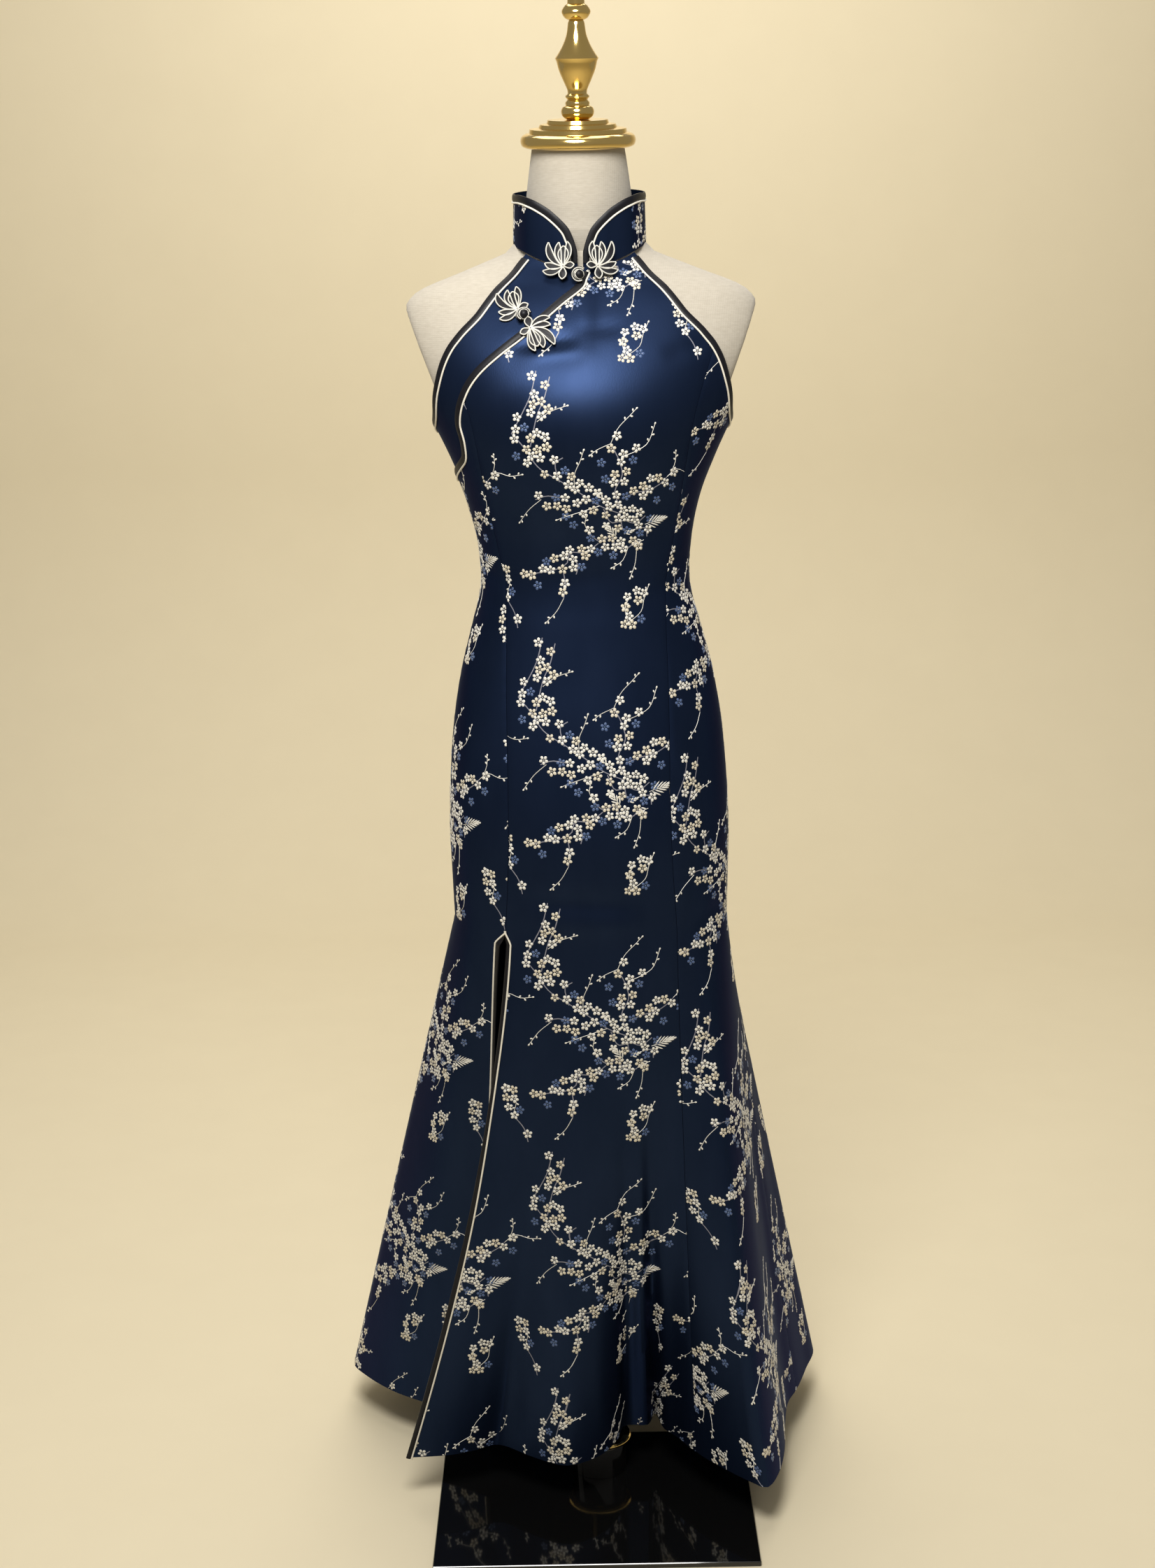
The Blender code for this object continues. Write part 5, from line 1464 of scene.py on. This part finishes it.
def make_knot(name, middle, out, toward):
    """A button knot of black cord bound with silver, and the loop that holds it."""
    across = unit(np.cross(out, toward))
    axes = np.stack([toward, across, out], -1)
    around = 2 * math.pi * np.arange(KNOT_SIDES) / KNOT_SIDES
    polar = np.linspace(0.06, 0.94, KNOT_STEPS) * math.pi
    sections = []
    for angle in polar:
        wave = 1 + 0.05 * np.cos(6 * around + 5 * angle)
        radius = KNOT_RADIUS * math.sin(angle) * wave
        flat = np.column_stack([radius * np.cos(around), radius * np.sin(around)])
        sections.append(np.column_stack([flat, np.full(KNOT_SIDES, -KNOT_RADIUS * math.cos(angle))]))
    ball = tube("knot_" + name + "_cord", np.array(sections) @ axes.T + middle, [STUFF["binding"]], 80.0)
    dress_up(ball, "cord", "knot_" + name)
    circle = np.linspace(0.0, 2 * math.pi, 37)[:-1]
    for k, (heading, lean) in enumerate(KNOT_BANDS):
        a = np.array((math.cos(math.radians(heading)), math.sin(math.radians(heading)), 0.0))
        b = np.array((-a[1] * math.cos(lean), a[0] * math.cos(lean), math.sin(lean)))
        line = (np.outer(np.cos(circle), a) + np.outer(np.sin(circle), b)) * KNOT_RADIUS @ axes.T + middle
        dress_up(hoop("knot_%s_silver_%d" % (name, k), line, BAND_RADIUS, 8, STUFF["cord"]), "cord")
    reach = KNOT_RADIUS + LOOP_GAP + LOOP_THICK
    angle = LOOP_ARC * np.linspace(-0.5, 0.5, LOOP_POINTS)
    line = middle - np.outer(np.cos(angle), toward) * reach + np.outer(np.sin(angle), across) * reach
    loop = tube("loop_" + name + "_cord", round_sections(line, LOOP_THICK, 10), [STUFF["binding"]])
    dress_up(loop, "cord", "loop_" + name)
    silver = round_sections(line + out * LOOP_THICK, BAND_RADIUS, 8)
    dress_up(tube("loop_" + name + "_silver", silver, [STUFF["cord"]]), "cord")


def make_knots():
    make_knot("collar", np.array(COLLAR_KNOT), np.array((0.0, -1.0, 0.0)), np.array((1.0, 0.0, 0.0)))
    x, z = CHEST_KNOT
    turn = float(turn_of(x, z))
    across, _, out = directions(turn, z)
    right = unit(across)
    toward = unit(right - np.cross(out, right) * CHEST_KNOT_SLOPE)
    make_knot("chest", raised(turn, z, CHEST_KNOT_RISE), out, toward)


# The dress form
FORM_ARM_BOTTOM_Z = 1.235
FORM_NECK_Z = 1.440
NECK_TILT_SPAN = 0.040
FORM_BOTTOM_Z = 0.735
FORM_ARM_TOP = (0.1885, 1.371)
FORM_ARM_SLOPE = 0.3765
FORM_ARM_CORNER = (0.179, 1.386)
FORM_INSET_COLUMNS = ("z", "across", "along")
FORM_INSETS = (
    (0.735, 0.0090, 0.0090),
    (0.800, 0.0026, 0.0026),
    (0.860, 0.0026, 0.0026),
    (0.975, 0.0045, 0.0045),
    (1.070, 0.0045, 0.0045),
    (1.165, 0.0040, 0.0035),
    (1.205, 0.0080, 0.0034),
    (1.2435, 0.0100, 0.0038),
    (1.320, 0.0040, 0.0044),
    (1.360, 0.0045, 0.0055),
    (1.386, 0.0090, 0.0080),
    (1.407, 0.0120, 0.0100),
    (1.425, 0.0160, 0.0125),
)
NECK_COLUMNS = ("z", "half_width", "front", "back")
NECK_RINGS = (
    (1.446, 0.0600, 0.0560, 0.0580),
    (1.462, 0.0575, 0.0540, 0.0555),
    (1.482, 0.0563, 0.0530, 0.0540),
    (1.508, 0.0530, 0.0510, 0.0515),
    (1.533, 0.0492, 0.0490, 0.0490),
)
FORM_SEGMENTS = 144
FORM_ROWS = 120
NECK_ROWS = 30


def arm_face(z):
    """How far out the form reaches at a height: its flat arm faces lean out as they rise."""
    top_x, top_z = FORM_ARM_TOP
    corner_x, corner_z = FORM_ARM_CORNER
    above = top_x + (corner_x - top_x) * (z - top_z) / (corner_z - top_z)
    beside = np.where(z > FORM_ARM_BOTTOM_Z, top_x - (top_z - z) * FORM_ARM_SLOPE, top_x)
    return np.where(z > top_z, above, beside)


def neck_middle(z):
    return NECK_FOOT + np.array((0.0, -math.tan(NECK_LEAN), 1.0)) * (z - NECK_FOOT[2])


def make_form():
    z = np.linspace(FORM_BOTTOM_Z, FORM_INSETS[-1][0], FORM_ROWS)[:, None]
    turns = 360.0 * np.arange(FORM_SEGMENTS)[None] / FORM_SEGMENTS
    place = ring(turns, z)
    across, along = (read(FORM_INSETS, FORM_INSET_COLUMNS, name, z) for name in ("across", "along"))
    wide = read(RINGS, RING_COLUMNS, "half_width", z)
    front, back = (read(RINGS, RING_COLUMNS, name, z) for name in ("front", "back"))
    deep = np.where(place[..., 1] < 0, front, back)
    place[..., 0] *= (wide - across) / wide
    place[..., 1] *= (deep - along) / deep
    place[..., 0] = np.clip(place[..., 0], -arm_face(z), arm_face(z))
    z = np.linspace(NECK_RINGS[0][0], NECK_RINGS[-1][0], NECK_ROWS)
    wide, front, back = (read(NECK_RINGS, NECK_COLUMNS, name, z)[:, None] for name in NECK_COLUMNS[1:])
    tilt = smooth_step((z - FORM_NECK_Z) / NECK_TILT_SPAN)[:, None]
    angle = np.radians(turns)
    y = -np.cos(angle) * np.where(np.cos(angle) > 0, front, back)
    rows = np.stack([np.sin(angle) * wide, y, tilt * y * math.tan(NECK_LEAN)], -1)
    neck = rows + np.array([neck_middle(height) for height in z])[:, None]
    piece = tube("form_linen", np.concatenate([place, neck]), [STUFF["linen"]], 50.0)
    dress_up(piece, "linen", "form_torso")


# Brass above the neck, turned: radius and height above the neck's top, and whether the row is a corner
TURNED_COLUMNS = ("radius", "height", "corner")
CAP_PROFILE = (
    (0.0005, 0.0000, 1),
    (0.0560, 0.0000, 1),
    (0.0598, 0.0020, 0),
    (0.0614, 0.0068, 0),
    (0.0600, 0.0116, 0),
    (0.0560, 0.0142, 1),
    (0.0520, 0.0150, 1),
    (0.0515, 0.0190, 1),
    (0.0418, 0.0202, 1),
    (0.0403, 0.0235, 1),
    (0.0330, 0.0246, 1),
    (0.0320, 0.0280, 1),
    (0.0005, 0.0281, 1),
)
FINIAL_PROFILE = (
    (0.0005, 0.0281, 1),
    (0.0120, 0.0283, 1),
    (0.0160, 0.0315, 0),
    (0.0175, 0.0360, 0),
    (0.0160, 0.0405, 0),
    (0.0125, 0.0425, 1),
    (0.0128, 0.0455, 0),
    (0.0105, 0.0483, 1),
    (0.0128, 0.0515, 0),
    (0.0101, 0.0545, 1),
    (0.0105, 0.0580, 0),
    (0.0150, 0.0680, 0),
    (0.0192, 0.0780, 0),
    (0.0215, 0.0870, 1),
    (0.0230, 0.0900, 1),
    (0.0190, 0.0955, 0),
    (0.0139, 0.1045, 0),
    (0.0105, 0.1135, 0),
    (0.0086, 0.1255, 1),
    (0.0076, 0.1275, 1),
    (0.0120, 0.1300, 0),
    (0.0152, 0.1360, 0),
    (0.0120, 0.1420, 0),
    (0.0090, 0.1440, 1),
    (0.0090, 0.1540, 1),
    (0.0108, 0.1560, 0),
    (0.0108, 0.1590, 0),
    (0.0075, 0.1618, 1),
    (0.0005, 0.1620, 1),
)
TURNED_SEGMENTS = 96
TURNED_STEPS = 5


def smooth_profile(profile):
    """The profile with its smooth stretches filled in, each between two corners."""
    corners = [i for i, row in enumerate(profile) if row[2]]
    radii, heights = [], []
    for a, b in zip(corners, corners[1:]):
        part = np.array([row[:2] for row in profile[a : b + 1]])
        reach = arc_along(part)
        steps = 1 if b == a + 1 else TURNED_STEPS * (b - a)
        at = np.linspace(0.0, reach[-1], steps + 1)[: None if b == corners[-1] else -1]
        radii += list(spline(reach, part[:, 0], at))
        heights += list(spline(reach, part[:, 1], at))
    return np.array(radii), np.array(heights)


def turned(name, profile, material, slot, node, frame_matrix):
    radii, heights = smooth_profile(profile)
    angle = 2 * math.pi * np.arange(TURNED_SEGMENTS) / TURNED_SEGMENTS
    x = radii[:, None] * np.cos(angle)
    y = radii[:, None] * np.sin(angle)
    places = np.stack([x, y, np.broadcast_to(heights[:, None], x.shape)], -1)
    rotation, shift = np.array(frame_matrix)[:3, :3], np.array(frame_matrix)[:3, 3]
    piece = tube(name, places @ rotation.T + shift, [material], 30.0)
    return dress_up(piece, slot, node)


SOCKET_RADIUS = 0.032
SOCKET_TOP = 0.0445
PLATE_THICK = 0.0063
RING_RADIUS = 0.038
RING_TOP = 0.0500
SOCKET_PROFILE = (
    (0.0005, PLATE_THICK, 1),
    (SOCKET_RADIUS, PLATE_THICK, 1),
    (SOCKET_RADIUS, SOCKET_TOP - 0.003, 1),
    (SOCKET_RADIUS - 0.0008, SOCKET_TOP - 0.0008, 0),
    (SOCKET_RADIUS - 0.003, SOCKET_TOP, 1),
    (0.0005, SOCKET_TOP, 1),
)
RING_PROFILE = (
    (0.0005, SOCKET_TOP + 0.0003, 1),
    (RING_RADIUS - 0.0014, SOCKET_TOP + 0.0003, 1),
    (RING_RADIUS, (SOCKET_TOP + RING_TOP) / 2, 0),
    (RING_RADIUS - 0.0014, RING_TOP, 1),
    (0.0005, RING_TOP, 1),
)


def make_brass():
    frame_matrix = Matrix.Translation(neck_middle(NECK_TOP_Z + 0.0003)) @ Matrix.Rotation(NECK_LEAN, 4, "X")
    turned("neck_cap_brass", CAP_PROFILE, STUFF["brass"], "brass", "neck_cap", frame_matrix)
    turned("finial_brass", FINIAL_PROFILE, STUFF["brass"], "brass", "finial", frame_matrix)
    upright = Matrix.Identity(4)
    turned("base_socket_gloss", SOCKET_PROFILE, STUFF["gloss"], "gloss", "base_socket", upright)
    turned("socket_ring_brass", RING_PROFILE, STUFF["brass"], "brass", "socket_ring", upright)
    finishes = {"base_plate": "gloss", "pole": "brass"}
    for node, finish in finishes.items():
        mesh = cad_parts[node].data
        mesh.materials.clear()
        mesh.materials.append(STUFF[finish])


# Stage, lights and camera
CAMERA_PLACE = (-0.0125, -2.5, 1.35)
CAMERA_PITCH = 11.5
CAMERA_ROLL = -1.0
FOCAL_SHARE = 3238 / 2242
LONG_SIDE = 36.0
BACKDROP_Y = 3.4
BACKDROP_BEND = 1.0


def make_stage():
    bend = [(math.sin(a), 1 - math.cos(a)) for a in np.linspace(0.0, math.pi / 2, 24)]
    profile = [(-3.4, 0.0)]
    profile += [(BACKDROP_Y - BACKDROP_BEND + BACKDROP_BEND * s, BACKDROP_BEND * c) for s, c in bend]
    profile.append((BACKDROP_Y, 3.6))
    rows = np.array([[(x, y, z) for x in (-4.0, 4.0)] for y, z in profile])
    paper, tree, shader = new_material("paper", (0.74, 0.66, 0.475), 0.9)
    tint(tree, shader, noise(tree, 9.0), (0.725, 0.645, 0.465), (0.75, 0.67, 0.485))
    floor = add_mesh("paper_sweep", rows, quads(len(profile), 2), [paper])


def add_light(name, place, aim, size, power, colour):
    light = bpy.data.lights.new(name, "AREA")
    light.shape = "DISK"
    light.size = size
    light.energy = power
    light.color = colour
    thing = bpy.data.objects.new(name, light)
    thing.location = place
    thing.rotation_euler = (Vector(aim) - Vector(place)).to_track_quat("-Z", "Y").to_euler()
    bpy.context.scene.collection.objects.link(thing)


def make_lights():
    world = bpy.data.worlds.new("room")
    bpy.context.scene.world = world
    world.use_nodes = True
    background = world.node_tree.nodes["Background"]
    background.inputs["Color"].default_value = (1.0, 0.95, 0.86, 1.0)
    background.inputs["Strength"].default_value = 0.28
    add_light("softbox", (-0.15, -1.3, 2.15), (0.0, 0.0, 1.3), 0.8, 38.0, (1.0, 0.98, 0.95))
    add_light("overhead", (-0.2, 0.6, 3.4), (0.0, 0.6, 0.0), 2.0, 30.0, (1.0, 0.96, 0.90))
    add_light("backdrop", (0.0, 1.7, 3.3), (0.0, 3.4, 1.0), 2.0, 45.0, (1.0, 0.96, 0.90))


def make_camera():
    lens = bpy.data.cameras.new("camera")
    lens.sensor_width = LONG_SIDE
    lens.lens = LONG_SIDE * FOCAL_SHARE
    thing = bpy.data.objects.new("camera", lens)
    level = Matrix.Rotation(math.radians(90 - CAMERA_PITCH), 4, "X")
    roll = Matrix.Rotation(math.radians(CAMERA_ROLL), 4, "Z")
    thing.matrix_world = Matrix.Translation(CAMERA_PLACE) @ level @ roll
    bpy.context.scene.collection.objects.link(thing)
    bpy.context.scene.camera = thing
    bpy.context.scene.view_settings.view_transform = "Standard"


def declare_sheets(cloth):
    """Works out each panel's widest width and its length, and keeps neither."""
    for name, (piece, motifs, outer) in cloth.items():
        wide = arc_along(outer)[:, -1].max()
        long = arc_along(outer.transpose(1, 0, 2))[:, -1].max()


make_camera()
make_form()
make_brass()
cloth = make_cloth()
underlap = make_underlap()
collar_piece = make_collar()
make_trims()
make_frogs()
make_knots()
declare_sheets(cloth)
make_stage()
make_lights()
